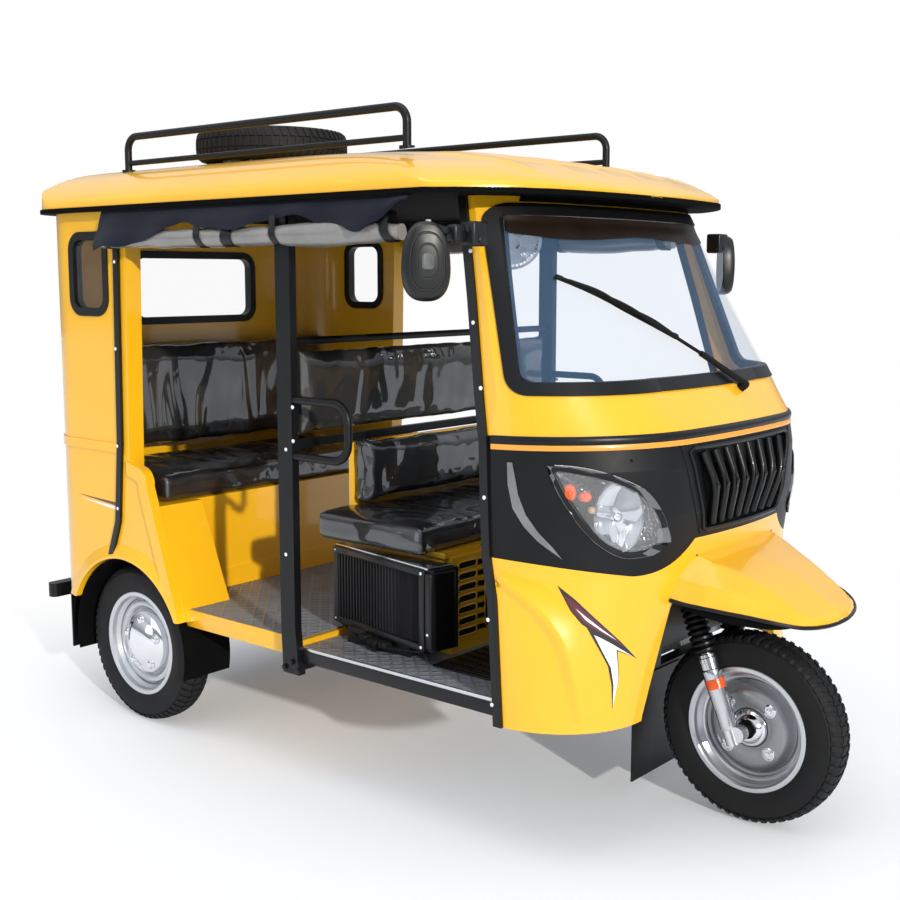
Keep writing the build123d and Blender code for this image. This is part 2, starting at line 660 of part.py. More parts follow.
def rear_window_seal():
    x0, x1 = BODY_REAR_X, BODY_REAR_X + WALL
    ring = rear_window_prism(WINDOW_SEAL) - rear_window_prism(-SEAL_LAP)
    ring = ring & block(x0 - SEAL_PROUD, x1 + SEAL_PROUD, -400, 400, 1200, 1800)
    wall = block(x0 - 0.3, x1 + 0.3, -400, 400, 1200, 1800) - rear_window_prism(-0.3)
    return ring - wall


def quarter_window_seal():
    y0, y1 = BODY_HALF_W - WALL, BODY_HALF_W
    ring = quarter_window_prism(WINDOW_SEAL) - quarter_window_prism(-SEAL_LAP)
    ring = ring & block(-400, 100, y0 - SEAL_PROUD, y1 + SEAL_PROUD, 1200, 1800)
    wall = block(-400, 100, y0 - 0.3, y1 + 0.3, 1200, 1800) - quarter_window_prism(-0.3)
    return ring - wall


# ------------------------------------------------------------------------
# Roof: shell with an overhanging eave and visor, flat ceiling, rails, spare wheel
# ------------------------------------------------------------------------
SKIRT = 7.0              # the shell's lower edge stands this far in from its fullest width
VISOR_BEND_X = 1466.0    # where the long front slope turns down into the visor's tip
VISOR_BEND_Z = 1818.0
ROOF_FLAT = (-200.0, 900.0)    # rear x, front x of the profile's level stretch ...
ABOVE_CROWN = 8.0              # ... which runs this far above the crown


def roof_section(inset):
    """Cross-section of the roof above the eave, as a face in the YZ plane."""
    w, low, top = EAVE_HALF_W - inset, EAVE_Z + EAVE_T, ROOF_TOP_Z - inset
    crest_z = ROOF_CREST_Z - inset
    crown = ThreePointArc((0, -ROOF_CREST_Y, crest_z), (0, 0, top), (0, ROOF_CREST_Y, crest_z))
    crest = TangentArc(crown @ 1, (0, ROOF_SHOULDER_Y - inset, ROOF_SHOULDER_Z - inset),
                       tangent=crown % 1)
    brow = TangentArc(crest @ 1, (0, w, low), tangent=crest % 1)
    side = crest + brow
    return make_face(crown + side + Line((0, w, low), (0, -w, low)) + mirrored(side))


def roof_profile(inset):
    """Side-view outline of the roof, a face in the XZ plane."""
    x0, tip = EAVE_REAR_X + inset, VISOR_TIP_X - inset
    low, top = EAVE_Z + EAVE_T, ROOF_TOP_Z + ABOVE_CROWN - inset
    rear, front = ROOF_FLAT
    slope = TangentArc((front, 0, top), (VISOR_BEND_X, 0, VISOR_BEND_Z - inset),
                       tangent=(1, 0, 0))
    visor = TangentArc(slope @ 1, (tip, 0, low), tangent=slope % 1)
    back = TangentArc((rear, 0, top), (x0, 0, low), tangent=(-1, 0, 0))
    return make_face(slope + visor + Line((tip, 0, low), (x0, 0, low)) + back
                     + Line((rear, 0, top), (front, 0, top)))


EAVE_REAR_CORNER = 150.0   # radius of the eave's rear corners
VISOR_START_X = 1370.0     # where the sides turn in towards the visor
VISOR_MID = (1482.0, 600.0)
VISOR_SHOULDER = (1580.0, 425.0)


def eave_plan(inset):
    """Plan outline of the eave and visor, a face on the ground plane, moved in by inset."""
    w, x0, r = EAVE_HALF_W, EAVE_REAR_X, EAVE_REAR_CORNER
    shoulder_x, shoulder_y = VISOR_SHOULDER
    corner = TangentArc((x0 + r, w), (x0, w - r), tangent=(-1, 0))
    quarter = ThreePointArc(VISOR_SHOULDER, VISOR_MID, (VISOR_START_X, w))
    side = quarter + Line((VISOR_START_X, w), (x0 + r, w)) + corner
    brow = ThreePointArc((shoulder_x, -shoulder_y), (VISOR_TIP_X, 0), VISOR_SHOULDER)
    whole = make_face(brow + side + Line((x0, w - r), (x0, r - w)) + mirrored(side))
    return offset(whole, amount=-inset) if inset else whole


def roof_volume(inset):
    """Bulk of the roof above the eave, all faces moved in by inset."""
    across = Pos(-600, 0, 0) * extrude(roof_section(inset), amount=2400, dir=(1, 0, 0))
    along = Pos(0, -800, 0) * extrude(roof_profile(inset), amount=1600, dir=(0, 1, 0))
    down = Pos(0, 0, EAVE_Z) * extrude(eave_plan(inset + SKIRT), amount=300, dir=(0, 0, 1))
    return across & along & down


RIBS = dict(count=6, half_w=13.0, spread=430.0, rear_x=1130.0, front_x=1536.0, proud=4.0)


def roof_shell():
    """Hollow shell with shallow ribs along the slope above the visor."""
    raised = roof_volume(-RIBS["proud"])
    gap = 2 * RIBS["spread"] / (RIBS["count"] - 1)
    ribs = [raised & block(RIBS["rear_x"], RIBS["front_x"], y - RIBS["half_w"],
                           y + RIBS["half_w"], VISOR_BEND_Z - 80, ROOF_TOP_Z + 60)
            for y in [-RIBS["spread"] + gap * i for i in range(RIBS["count"])]]
    whole = roof_volume(0)
    for rib in ribs:
        whole = whole + rib
    return whole - roof_volume(ROOF_WALL)


def roof_ceiling():
    """Black eave strip all round with the flat ceiling inside it."""
    return Pos(0, 0, EAVE_Z) * extrude(eave_plan(0), amount=EAVE_T, dir=(0, 0, 1))


RAIL_TUBE_R = 12.0
ROOF_RAIL_Y = 493.0
ROOF_RAIL_REAR_X = -140.0
ROOF_RAIL_FRONT_X = 1123.0
ROOF_RAIL_TOP_Z = 1966.0
ROOF_RAIL_LOW_Z = 1880.0
ROOF_RAIL_FOOT_Z = 1852.0


def roof_rail():
    """Left rail: a hoop on two posts with a lower bar."""
    y = ROOF_RAIL_Y
    hoop = tube([(ROOF_RAIL_REAR_X, y, ROOF_RAIL_FOOT_Z), (ROOF_RAIL_REAR_X, y, ROOF_RAIL_TOP_Z),
                 (ROOF_RAIL_FRONT_X, y, ROOF_RAIL_TOP_Z),
                 (ROOF_RAIL_FRONT_X, y, ROOF_RAIL_FOOT_Z)], RAIL_TUBE_R, 45)
    bar = rod((ROOF_RAIL_REAR_X, y, ROOF_RAIL_LOW_Z), (ROOF_RAIL_FRONT_X, y, ROOF_RAIL_LOW_Z),
              RAIL_TUBE_R - 3)
    feet = [cylinder_z(x, y, ROOF_RAIL_FOOT_Z - 6, ROOF_RAIL_FOOT_Z + 6, 22)
            for x in (ROOF_RAIL_REAR_X, ROOF_RAIL_FRONT_X)]
    whole = hoop + bar + feet[0] + feet[1]
    return whole - roof_volume(0)


def cylinder_z(x, y, z0, z1, radius):
    return rod((x, y, z0), (x, y, z1), radius)


SPARE_X = 30.0
SPARE_Z = 1956.0


def make_roof():
    save(roof_shell(), "roof_shell")
    save(roof_ceiling(), "roof_eave_and_ceiling")
    save(pair(roof_rail()), "roof_rails")
    flat = Pos(SPARE_X, 0, SPARE_Z) * Rot(90, 0, 0)
    save(flat * tyre(), "spare_tyre")
    save(flat * rim(20, -1), "spare_rim")
    save(spare_carrier(), "spare_wheel_carrier")


FOOT_HALF = 38.0


def spare_carrier():
    """Post and crossed bars on the roof that hold the spare wheel flat."""
    post = cylinder_z(SPARE_X, 0, ROOF_TOP_Z - 20, SPARE_Z + 12, SPINDLE_R)
    foot = block(SPARE_X - FOOT_HALF, SPARE_X + FOOT_HALF, -FOOT_HALF, FOOT_HALF,
                 ROOF_TOP_Z - 20, SPARE_Z - 26)
    return (post + foot) - roof_volume(0)


# ------------------------------------------------------------------------
# Posts between driver and passengers, hand hoops, padded partition
# ------------------------------------------------------------------------
def centre_post():
    """Left post from below the floor to the ceiling, with its hand hoop."""
    post = slab_y([(POST_X - POST_HALF + 6, POST_FOOT_Z), (POST_X + POST_HALF + 14, POST_FOOT_Z),
                   (POST_X + POST_HALF, 470), (POST_X + POST_HALF, CEILING_Z),
                   (POST_X - POST_HALF, CEILING_Z), (POST_X - POST_HALF, 470)],
                  POST_Y - POST_T / 2, POST_Y + POST_T / 2)
    x0 = POST_X + POST_HALF - 8
    hoop = tube([(x0, POST_Y, HOOP_LOW_Z), (HOOP_FRONT_X - HOOP_TUBE_R, POST_Y, HOOP_LOW_Z),
                 (HOOP_FRONT_X - HOOP_TUBE_R, POST_Y, HOOP_HIGH_Z), (x0, POST_Y, HOOP_HIGH_Z)],
                HOOP_TUBE_R, HOOP_BEND_R)
    return post, hoop


PARTITION_LOW_Z = 1030.0
PARTITION_HIGH_Z = 1306.0


def partition_frame():
    inner = POST_Y - POST_T / 2
    top = rod((POST_X, -inner, PARTITION_HIGH_Z + 11), (POST_X, inner, PARTITION_HIGH_Z + 11), 11)
    low = block(POST_X - 10, POST_X + 10, -inner, inner, PARTITION_LOW_Z - 24, PARTITION_LOW_Z)
    return group(top, low)


def partition_pad():
    pad = block(POST_X - 24, POST_X + 24, -(POST_Y - POST_T / 2 - 6), POST_Y - POST_T / 2 - 6,
                PARTITION_LOW_Z + 0.3, PARTITION_HIGH_Z - 0.3)
    return fillet(pad.edges().filter_by(Axis.Y), 16)


def make_posts():
    post, hoop = centre_post()
    save(pair(post + hoop), "centre_posts")
    save(partition_frame(), "partition_frame")
    save(partition_pad(), "partition_pad")


# ------------------------------------------------------------------------
# Passenger bench
# ------------------------------------------------------------------------
def bench_base():
    """Front panel and deck of the passenger bench between the wheel housings."""
    y = HOUSING_IN_Y - 0.3
    front = block(BENCH_FRONT_X - 20, BENCH_FRONT_X, -y, y, FLOOR_Z - 4, BENCH_TOP_Z)
    deck = block(-410, BENCH_FRONT_X - 10, -y, y, BENCH_TOP_Z - 20, BENCH_TOP_Z)
    recess = block(BENCH_FRONT_X - 5, BENCH_FRONT_X + 5, -y + 50, y - 50, FLOOR_Z + 60,
                   BENCH_TOP_Z - 55)
    return (front + deck) - recess


def bench_cushion():
    pad = block(-395, BENCH_FRONT_X + 12, -BENCH_HALF_W, BENCH_HALF_W, BENCH_TOP_Z,
                BENCH_TOP_Z + PASS_CUSHION_T)
    pad = fillet(pad.edges().group_by(Axis.Z)[-1], 24)
    return pad & rear_plan(WALL + 0.3, 320, BODY_LOW_Z, CEILING_Z)


def bench_backrest():
    z0 = BENCH_TOP_Z + PASS_CUSHION_T + 0.3
    pad = slab_y([(-418, z0), (-318, z0), (-352, 1285), (-418, 1285)], -BENCH_HALF_W, BENCH_HALF_W)
    pad = fillet(pad.edges().group_by(Axis.Z)[-1], 22)
    return pad & rear_plan(WALL + 0.3, 320, BODY_LOW_Z, CEILING_Z)


def make_bench():
    save(bench_base(), "bench_base")
    save(bench_cushion(), "bench_cushion")
    save(bench_backrest(), "bench_backrest")


# ------------------------------------------------------------------------
# Driver's place: floor, seat box, seat, radiator
# ------------------------------------------------------------------------
def driver_floor():
    outer = block(FLOOR_FRONT_X, DRIVER_FLOOR_FRONT_X, -SILL_HALF_W, SILL_HALF_W,
                  SILL_Z - SILL_T, SILL_Z)
    posts = group(*[block(POST_X - 60, POST_X + POST_HALF + 8, s * POST_Y - 40, s * POST_Y + 40,
                          300, 500) for s in (1, -1)])
    nose = block(1500, DRIVER_FLOOR_FRONT_X, -700, 700, SILL_Z - SILL_T, SILL_Z)
    nose = (nose & cab_volume(CAB_WALL + 0.3)) & block(1585, 1700, -700, 700, 0, 500)
    return (outer - posts) + nose


SEAT_BOX = (822.0, 1205.0, 400.0, 700.0)       # rear x, front x, half width, top z


def seat_box():
    x0, x1, half, top = SEAT_BOX
    body = block(x0, x1, -half, half, SILL_Z, top)
    hollow = block(x0 + 12, x1 - 12, -half + 12, half - 12, SILL_Z - 1, top - 12)
    slots = []
    for row in range(7):
        z = 460 + row * 33
        for y in (-371, -282, 289 - 7, 371 - 82):
            slots.append(block(x1 - 20, x1 + 5, min(y, y + 82), max(y, y + 82), z, z + 19))
    return body - hollow - group(*slots)


def bulkhead():
    """Yellow panel behind the driver's seat, from the floor to the partition."""
    return block(POST_X - BULKHEAD_BACK, POST_X + BULKHEAD_FRONT, -385, 385,
                 FLOOR_Z - TREAD_T, 1000)


def driver_cushion():
    pad = slab_z([(735, -480), (1190, -520), (1190, 520), (735, 480)], 716, 806)
    pad = pad - block(700, POST_X + BULKHEAD_FRONT + 0.3, -385.3, 385.3, 600, 900)
    return pad


def driver_cushion_base():
    x0, x1, half, top = SEAT_BOX
    return block(POST_X + 12.3, 1196, -half - 20, half + 20, top, 716)


def driver_backrest():
    z0 = 806.3
    pad = slab_y([(POST_X + 12.3, z0), (POST_X + 82, z0), (POST_X + 70, 1025),
                  (POST_X + 12.3, 1025)], -410, 410)
    return fillet(pad.edges().group_by(Axis.Z)[-1], 20)


RADIATOR_YAW = 8.0


def radiator():
    """Core in a frame, beside the seat box on the right, turned out a little."""
    core = block(-228, 228, -48, 48, 0, 232)
    face = block(-210, 210, -52, -36, 18, 214)
    fins = [block(-207 + i * 14, -203 + i * 14, -46, -35, 18, 214) for i in range(30)]
    body = (core - face) + group(*fins)
    half = SEAT_BOX[2] + 0.3
    return Pos(1034, -461, 462) * Rot(0, 0, -RADIATOR_YAW) * body - block(
        600, 1500, -half, half, 300, 900)


def radiator_mount():
    return block(880, 1130, -500, -420, SILL_Z, 463)


def make_driver_place():
    save(driver_floor(), "driver_floor")
    save(seat_box() + driver_cushion_base(), "driver_seat_box")
    save(bulkhead(), "bulkhead_panel")
    save(driver_cushion(), "driver_cushion")
    save(driver_backrest(), "driver_backrest")
    save(radiator() + radiator_mount(), "radiator")
    save(cab_inner_panel(), "cab_inner_panel")


# ------------------------------------------------------------------------
# Cab front: one lofted skin, divided into cowl, mask and wings
# ------------------------------------------------------------------------
CAB_BACK_X = 1320.0


def cab_section(row, inset):
    """Closed plan outline of the cab front at one height, moved in by inset."""
    back = CAB_BACK_X - max(inset, 0)
    sx, sy = row["side_x"], row["side_y"] - inset
    mx, my = row["mid_x"] - 0.72 * inset, row["mid_y"] - 0.69 * inset
    jx, jy = row["join_x"] - inset, row["join_y"] - 0.2 * inset
    nx, z = row["nose_x"] - inset, row["z"]
    outline = (
        Line((back, -sy, z), (back, sy, z)) + Line((back, sy, z), (sx, sy, z))
        + ThreePointArc((sx, sy, z), (mx, my, z), (jx, jy, z))
        + ThreePointArc((jx, jy, z), (nx, 0, z), (jx, -jy, z))
        + ThreePointArc((jx, -jy, z), (mx, -my, z), (sx, -sy, z))
        + Line((sx, -sy, z), (back, -sy, z))
    )
    return make_face(outline)


def cab_volume(inset, first=0, last=None):
    rows = CAB_PLAN[first:last]
    return loft([cab_section(row, inset) for row in rows], ruled=True)


def ahead_of_pillar(offset, z0=0.0, z1=2500.0):
    """Everything ahead of the cab's rear edge line moved forward by offset."""
    line = [(x + offset, z) for x, z in PILLAR_LINE]
    line = [(line[0][0], 0.0)] + line + [(line[-1][0], 2500.0)]
    space = slab_y(line + [(2600.0, 2500.0), (2600.0, 0.0)], -900, 900)
    return space & block(1000, 2600, -900, 900, z0, z1)


def screen_prism(grow):
    """Windscreen opening seen from the side, its rear corners rounded."""
    (bx, bz), (cx, cz) = SCREEN_REAR
    low, high = SCREEN_LOW_Z - grow, SCREEN_HIGH_Z + grow
    slope = (cx - bx) / (cz - bz)
    side = grow * (1 + slope * slope) ** 0.5
    back = [(bx + slope * (z - bz) - side, z) for z in (low, high)]
    opening = make_face(Polyline([(back[0][0], 0, low), (back[1][0], 0, high),
                                  (2300, 0, high), (2300, 0, low)], close=True))
    corners = opening.vertices().sort_by(Axis.X)[:2].sort_by(Axis.Z)
    opening = fillet(corners[0], SCREEN_LOW_R + grow)
    top = opening.vertices().group_by(Axis.Z)[-1].sort_by(Axis.X)[0]
    opening = fillet(top, SCREEN_HIGH_R + grow)
    return Pos(0, -900, 0) * extrude(opening, amount=1800, dir=(0, 1, 0))


def cab_skin(inset, wall, z0, z1):
    skin = cab_volume(inset) - cab_volume(inset + wall)
    return skin & ahead_of_pillar(0, z0, z1)


def mask_edge_cut(gap):
    """Everything below the mask's lower edge; the edge dips in the middle of each side."""
    low = MASK_LOW_Z - gap
    outer = ThreePointArc((0, 900, low + 112), (0, 640, low + 44), (0, 430, low))
    inner = ThreePointArc((0, 430, low), (0, 318, low + 20), (0, MASK_STEP_Y, low + 78))
    side = outer + inner
    bridge = Line((0, MASK_STEP_Y, low + 78), (0, -MASK_STEP_Y, low + 78))
    foot = Polyline([(0, -900, low + 112), (0, -900, 0), (0, 900, 0), (0, 900, low + 112)])
    return Pos(1300, 0, 0) * extrude(make_face(side + bridge + mirrored(side) + foot),
                                     amount=1000, dir=(1, 0, 0))


# Opening over the front wheel, half of it in y and z; the apron closes it at the top
WHEEL_GAP = [(382.0, 300.0), (378.0, 370.0), (302.0, 650.0), (226.0, 766.0)]


def wheel_gap_prism():
    other = [(-y, z) for y, z in reversed(WHEEL_GAP)]
    return slab_x(WHEEL_GAP + other, 1640, 2300)


def make_cab():
    cowl = cab_skin(0, CAB_WALL, BELT_Z, CEILING_Z) - screen_prism(0)
    save(cowl, "cab_cowl")
    lower = cab_skin(0, CAB_WALL, 355, BELT_Z - 0.3)
    mask = lower - mask_edge_cut(0) - lamp_prism(0) - mirrored(lamp_prism(0)) - grille_prism(0)
    save(mask, "nose_mask")
    wings = (lower & mask_edge_cut(0.3)) - wheel_gap_prism()
    save(wings, "front_wings")
    glass = (cab_volume(5) - cab_volume(5 + GLASS_T)) & screen_prism(-SEAL_W - 0.3)
    glass = glass & ahead_of_pillar(0)
    save(glass, "windscreen")
    seal = (cab_volume(-SEAL_OUT) - cab_volume(CAB_WALL)) \
        & (screen_prism(0) - screen_prism(-SEAL_W))
    save(seal & ahead_of_pillar(0), "windscreen_seal")
    lamp = (cab_volume(-8) - cab_volume(60)) & lamp_prism(-0.3)
    save(pair(lamp), "headlights")
    save(grille(), "grille")
    save(mudguard(), "front_mudguard")
    save(group(pillar_strips(), pair(door_strip())), "trim_strips")


# Headlight outline on its own upright plane: along the face and height
LAMP_AT = (1800.0, 470.0, 930.0)
LAMP_FACE_DEG = 41.9               # the lamp's axis, degrees out from straight ahead
# Its outline is a chain of arcs, each (start, middle, end)
LAMP_ARCS = [((-176, 1038), (-40, 1023), (74, 974)), ((74, 974), (124, 914), (152, 826)),
             ((152, 826), (92, 799), (20, 799)), ((20, 799), (-52, 842), (-112, 912)),
             ((-112, 912), (-148, 968), (-176, 1038))]


def lamp_prism(grow):
    """Leaf-shaped column through the left headlight, along the lamp's axis."""
    a = radians(LAMP_FACE_DEG + 6.2)
    out = Vector(cos(a), sin(a), 0)
    along = Vector(sin(a), -cos(a), 0)
    base = Vector(LAMP_AT[0], LAMP_AT[1], 0) - out * 160
    curves = [ThreePointArc(*[base + along * s + Vector(0, 0, z) for s, z in arc])
              for arc in LAMP_ARCS]
    face = make_face(Curve() + curves)
    if grow:
        face = offset(face, amount=grow, kind=Kind.INTERSECTION)
    return extrude(face, amount=400, dir=out)


GRILLE = dict(top_z=1062.0, low_z=848.0, top_half=276.0, low_half=205.0)
SLATS = 8


def grille_prism(grow):
    g = GRILLE
    pts = [(-g["top_half"] - grow, g["top_z"] + grow), (g["top_half"] + grow, g["top_z"] + grow),
           (g["low_half"] + grow, g["low_z"] - grow), (-g["low_half"] - grow, g["low_z"] - grow)]
    return slab_x(pts, 1700, 2300)


def grille():
    """Plate behind upright kinked slats."""
    plate = (cab_volume(CAB_WALL + 0.3) - cab_volume(CAB_WALL + 12)) & grille_prism(12)
    slats = []
    pitch_top = 2 * GRILLE["top_half"] / (SLATS + 1)
    pitch_low = 2 * GRILLE["low_half"] / (SLATS + 1)
    for i in range(1, SLATS + 1):
        yt = -GRILLE["top_half"] + pitch_top * i
        yl = -GRILLE["low_half"] + pitch_low * i
        slat = Polyline([(1870, yt - 7, 1050), (1870, yt + 7, 1050), (1870, yl + 7, 860),
                         (1870, yl - 7, 860)], close=True)
        column = extrude(make_face(slat), amount=90, dir=(1, 0, 0))
        side = slab_y([(1880, 1050), (1908, 1050), (1938, 965), (1912, 860), (1880, 860)],
                      -400, 400)
        slats.append(column & side)
    whole = plate
    for slat in slats:
        whole = whole + slat
    return whole


# Front mudguard, a beak of three planes a side: half sections from the nose to the tip
GUARD_ROWS = [
    dict(x=1800.0, edge_y=322.0, edge_z=676.0, fold_y=303.0, fold_z=742.0,
         crest_y=236.0, crest_z=812.0),
    dict(x=1890.0, edge_y=306.0, edge_z=668.0, fold_y=280.0, fold_z=716.0,
         crest_y=216.0, crest_z=776.0),
    dict(x=2050.0, edge_y=262.0, edge_z=640.0, fold_y=232.0, fold_z=672.0,
         crest_y=168.0, crest_z=706.0),
    dict(x=2160.0, edge_y=212.0, edge_z=628.0, fold_y=178.0, fold_z=642.0,
         crest_y=126.0, crest_z=656.0),
    dict(x=2210.0, edge_y=150.0, edge_z=624.0, fold_y=112.0, fold_z=636.0,
         crest_y=72.0, crest_z=648.0),
    dict(x=2230.0, edge_y=64.0, edge_z=622.0, fold_y=48.0, fold_z=632.0,
         crest_y=30.0, crest_z=642.0),
]


def guard_volume(inset):
    """Bulk of the mudguard, its planes moved in by inset and its underside left open."""
    faces = []
    for row in GUARD_ROWS:
        x = row["x"] - (inset if row is GUARD_ROWS[-1] else 0)
        half = [(row["edge_y"] - inset, row["edge_z"] - (1 if inset else 0)),
                (row["fold_y"] - inset, row["fold_z"] - inset),
                (row["crest_y"] - inset, row["crest_z"] - inset)]
        outline = [(x, -y, z) for y, z in half] + [(x, y, z) for y, z in reversed(half)]
        faces.append(make_face(Polyline(outline, close=True)))
    return loft(faces, ruled=True)


def mudguard():
    shell = guard_volume(0) - guard_volume(MUDGUARD_T)
    return shell - cab_volume(-0.3)


def pillar_strips():
    """Black strip down each rear edge of the cab front."""
    outer = cab_volume(-9) - cab_volume(CAB_WALL + 4)
    behind = ahead_of_pillar(-PILLAR_STRIP_W, 340, CEILING_Z) - ahead_of_pillar(-0.3)
    return (outer & behind) - driver_floor()


DOOR_STRIP_W = 24.0


STRIP_OUT = 11.0


def door_strip():
    """Black strip from the eave down to the wheel arch, over the panels' seam."""
    back = strip_line(-DOOR_STRIP_W / 2)
    front = strip_line(DOOR_STRIP_W / 2)
    strip = slab_y(back + list(reversed(front)), BODY_HALF_W + 0.3, BODY_HALF_W + STRIP_OUT)
    strip = strip - cylinder_y(0, TYRE_R, ARCH_R + 14, 600, 700)
    return strip - side_panel() - quarter_panel()


def cab_inner_panel():
    """Upright panel ahead of the driver's feet with a tray on top, inside the cab skin."""
    upright = block(DRIVER_FLOOR_FRONT_X + 0.3, DRIVER_FLOOR_FRONT_X + 9, -700, 700,
                    RAIL_TOP_Z, TRAY_Z)
    tray = block(DRIVER_FLOOR_FRONT_X + 0.3, 1990, -700, 700, TRAY_Z - 8, TRAY_Z)
    panel = (upright & cab_volume(CAB_WALL + 0.3)) + (tray & cab_volume(TRAY_INSET))
    return panel - rod(on_fork(CROWN_Z), on_fork(STEM_TOP_Z), 52) \
        - block(1500, 1700, -26, 26, 300, 800)


TRAY_Z = 788.0
TRAY_INSET = CAB_WALL + 14.5
MIRROR_AT = (1420.0, 756.0, 1540.0)
MIRROR_YAW = 40.0
BRACKET_Z = 1608.0


def mirror_left():
    """Housing on a stalk from a bracket clamped round the cab's pillar."""
    housing = ellipsoid(114, 34, 190)
    x, y, z = MIRROR_AT
    housing = Pos(x, y, z) * Rot(0, 0, 90 + MIRROR_YAW) * housing
    stalk = rod((x, y, z), (x + 8, y - 8, BRACKET_Z), 8)
    arm = rod((x + 8, y - 8, BRACKET_Z), (1452, 600, BRACKET_Z), 11)
    clamp = block(1425, 1492, 500, 640, BRACKET_Z - 28, BRACKET_Z + 28)
    seal_space = cab_volume(-SEAL_OUT - 0.3) & screen_prism(0.3)
    return (housing + stalk + arm + clamp) - cab_volume(-0.3) - seal_space


WIPER_PIVOT_YZ = (118.0, 1193.0)
WIPER_JOINT_YZ = (-255.0, 1445.0)
WIPER_TIP_YZ = (-436.0, 1500.0)
WIPER_HEEL_YZ = (-90.0, 1335.0)


def make_fittings():
    save(pair(mirror_left()), "mirrors")
    save(pair(curtain_left()), "side_curtains")
    save(wiper(), "wiper")
    save(fan(), "cab_fan")


CURTAIN_Y = 683.0
CURTAIN_R = 29.0
CURTAIN_Z = 1618.0


def curtain_left():
    """Rolled side curtain hanging under the eave."""
    roll = rod((-25, CURTAIN_Y, CURTAIN_Z), (1280, CURTAIN_Y, CURTAIN_Z), CURTAIN_R)
    flap = block(-25, 1280, CURTAIN_Y - 4, CURTAIN_Y + 4, CURTAIN_Z, EAVE_Z)
    behind_strip = block(-100, 40, 600, BODY_HALF_W + STRIP_OUT + 0.3, CURTAIN_Z - 60, EAVE_Z) \
        + block(39, 66, 600, BODY_HALF_W - 1.7, CURTAIN_Z - 60, EAVE_Z)
    return (roll + flap) - behind_strip


def fan():
    """Small caged fan under the ceiling."""
    x, y, z = 1300, -250, 1605
    cage = Plane(origin=(x, y, z), z_dir=(0.6, -0.6, -0.3)) * Cylinder(85, 60)
    stem = rod((x - 20, y + 20, z), (x - 20, y + 20, EAVE_Z), 9)
    return fillet(cage.edges(), 20) + stem


def cab_x(y, z):
    """Forward reach of the cab's outer skin at this place across and height."""
    for low, high in zip(CAB_PLAN, CAB_PLAN[1:]):
        if low["z"] <= z <= high["z"]:
            part = (z - low["z"]) / (high["z"] - low["z"])
            row = {key: low[key] + (high[key] - low[key]) * part for key in low}
    nose = ThreePointArc((row["join_x"], row["join_y"]), (row["nose_x"], 0),
                         (row["join_x"], -row["join_y"]))
    corner = ThreePointArc((row["side_x"], row["side_y"]), (row["mid_x"], row["mid_y"]),
                           (row["join_x"], row["join_y"]))
    arc = nose if abs(y) < row["join_y"] else corner
    centre = arc.arc_center
    return centre.X + (arc.radius ** 2 - (abs(y) - centre.Y) ** 2) ** 0.5


def off_screen(y, z, standoff):
    """Point this far ahead of the windscreen's outer skin."""
    return (cab_x(y, z) + standoff, y, z)


def wiper():
    """Arm from a pivot under the windscreen, and the blade it presses on the glass."""
    pivot = off_screen(*WIPER_PIVOT_YZ, 9)
    joint = off_screen(*WIPER_JOINT_YZ, 22)
    tip, heel = off_screen(*WIPER_TIP_YZ, 15), off_screen(*WIPER_HEEL_YZ, 15)
    middle = off_screen((WIPER_TIP_YZ[0] + WIPER_HEEL_YZ[0]) / 2,
                        (WIPER_TIP_YZ[1] + WIPER_HEEL_YZ[1]) / 2, 15)
    arm = rod(pivot, joint, 5) + rod(joint, middle, 5)
    blade = rod(tip, middle, 6) + rod(middle, heel, 6)
    boss = rod(pivot, (pivot[0] - 40, pivot[1], pivot[2] - 10), 12) - cab_volume(-0.3)
    return boss + (arm + blade - cab_volume(-5.3))


make_wheels()
make_steering()
make_frame()
make_body()
make_roof()
make_posts()
make_bench()
make_driver_place()
make_cab()
make_fittings()
whole = Compound(children=[s for _, shape in parts for s in shape.solids()]).bounding_box()
print("extent", whole.min, whole.max, len(parts), "nodes")
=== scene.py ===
import json
import math

import bmesh
import bpy
from mathutils import Matrix, Vector, noise as field
from mathutils.bvhtree import BVHTree


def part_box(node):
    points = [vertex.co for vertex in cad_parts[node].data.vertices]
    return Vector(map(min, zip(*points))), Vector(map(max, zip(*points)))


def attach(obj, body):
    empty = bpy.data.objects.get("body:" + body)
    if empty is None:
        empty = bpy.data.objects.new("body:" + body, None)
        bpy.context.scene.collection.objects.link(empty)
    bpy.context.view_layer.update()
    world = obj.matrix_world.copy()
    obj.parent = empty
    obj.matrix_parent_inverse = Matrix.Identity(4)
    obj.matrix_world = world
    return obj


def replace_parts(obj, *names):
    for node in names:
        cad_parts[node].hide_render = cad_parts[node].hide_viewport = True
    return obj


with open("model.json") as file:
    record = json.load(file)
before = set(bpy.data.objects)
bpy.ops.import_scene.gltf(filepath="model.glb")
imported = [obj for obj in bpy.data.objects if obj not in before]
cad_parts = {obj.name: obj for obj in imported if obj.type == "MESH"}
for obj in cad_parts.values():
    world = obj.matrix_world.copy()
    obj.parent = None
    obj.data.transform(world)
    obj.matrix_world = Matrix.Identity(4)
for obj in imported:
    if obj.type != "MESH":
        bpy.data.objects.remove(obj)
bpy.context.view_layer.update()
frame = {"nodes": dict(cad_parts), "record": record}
bpy.ops.object.select_all(action="DESELECT")
nodes = frame["nodes"]

# Metres. +X is forward, +Y is the vehicle's left, +Z is up, the ground is z = 0.
REAR_AXLE_X = -0.8255        # the rear axle's place along the vehicle
FRONT_AXLE_X = REAR_AXLE_X + 1.963
TYRE_R = 0.268
REAR_WHEEL_Y = 0.567
CAMERA_AT = (2.6787, -3.1336, 1.5041)
CAMERA_DOWN, CAMERA_TURN = 7.8, 40.15   # degrees below level, and left from facing +Y
LENS, SENSOR = 50.76, 36                # millimetres
WELD = 0.00002                          # corners closer than this are joined


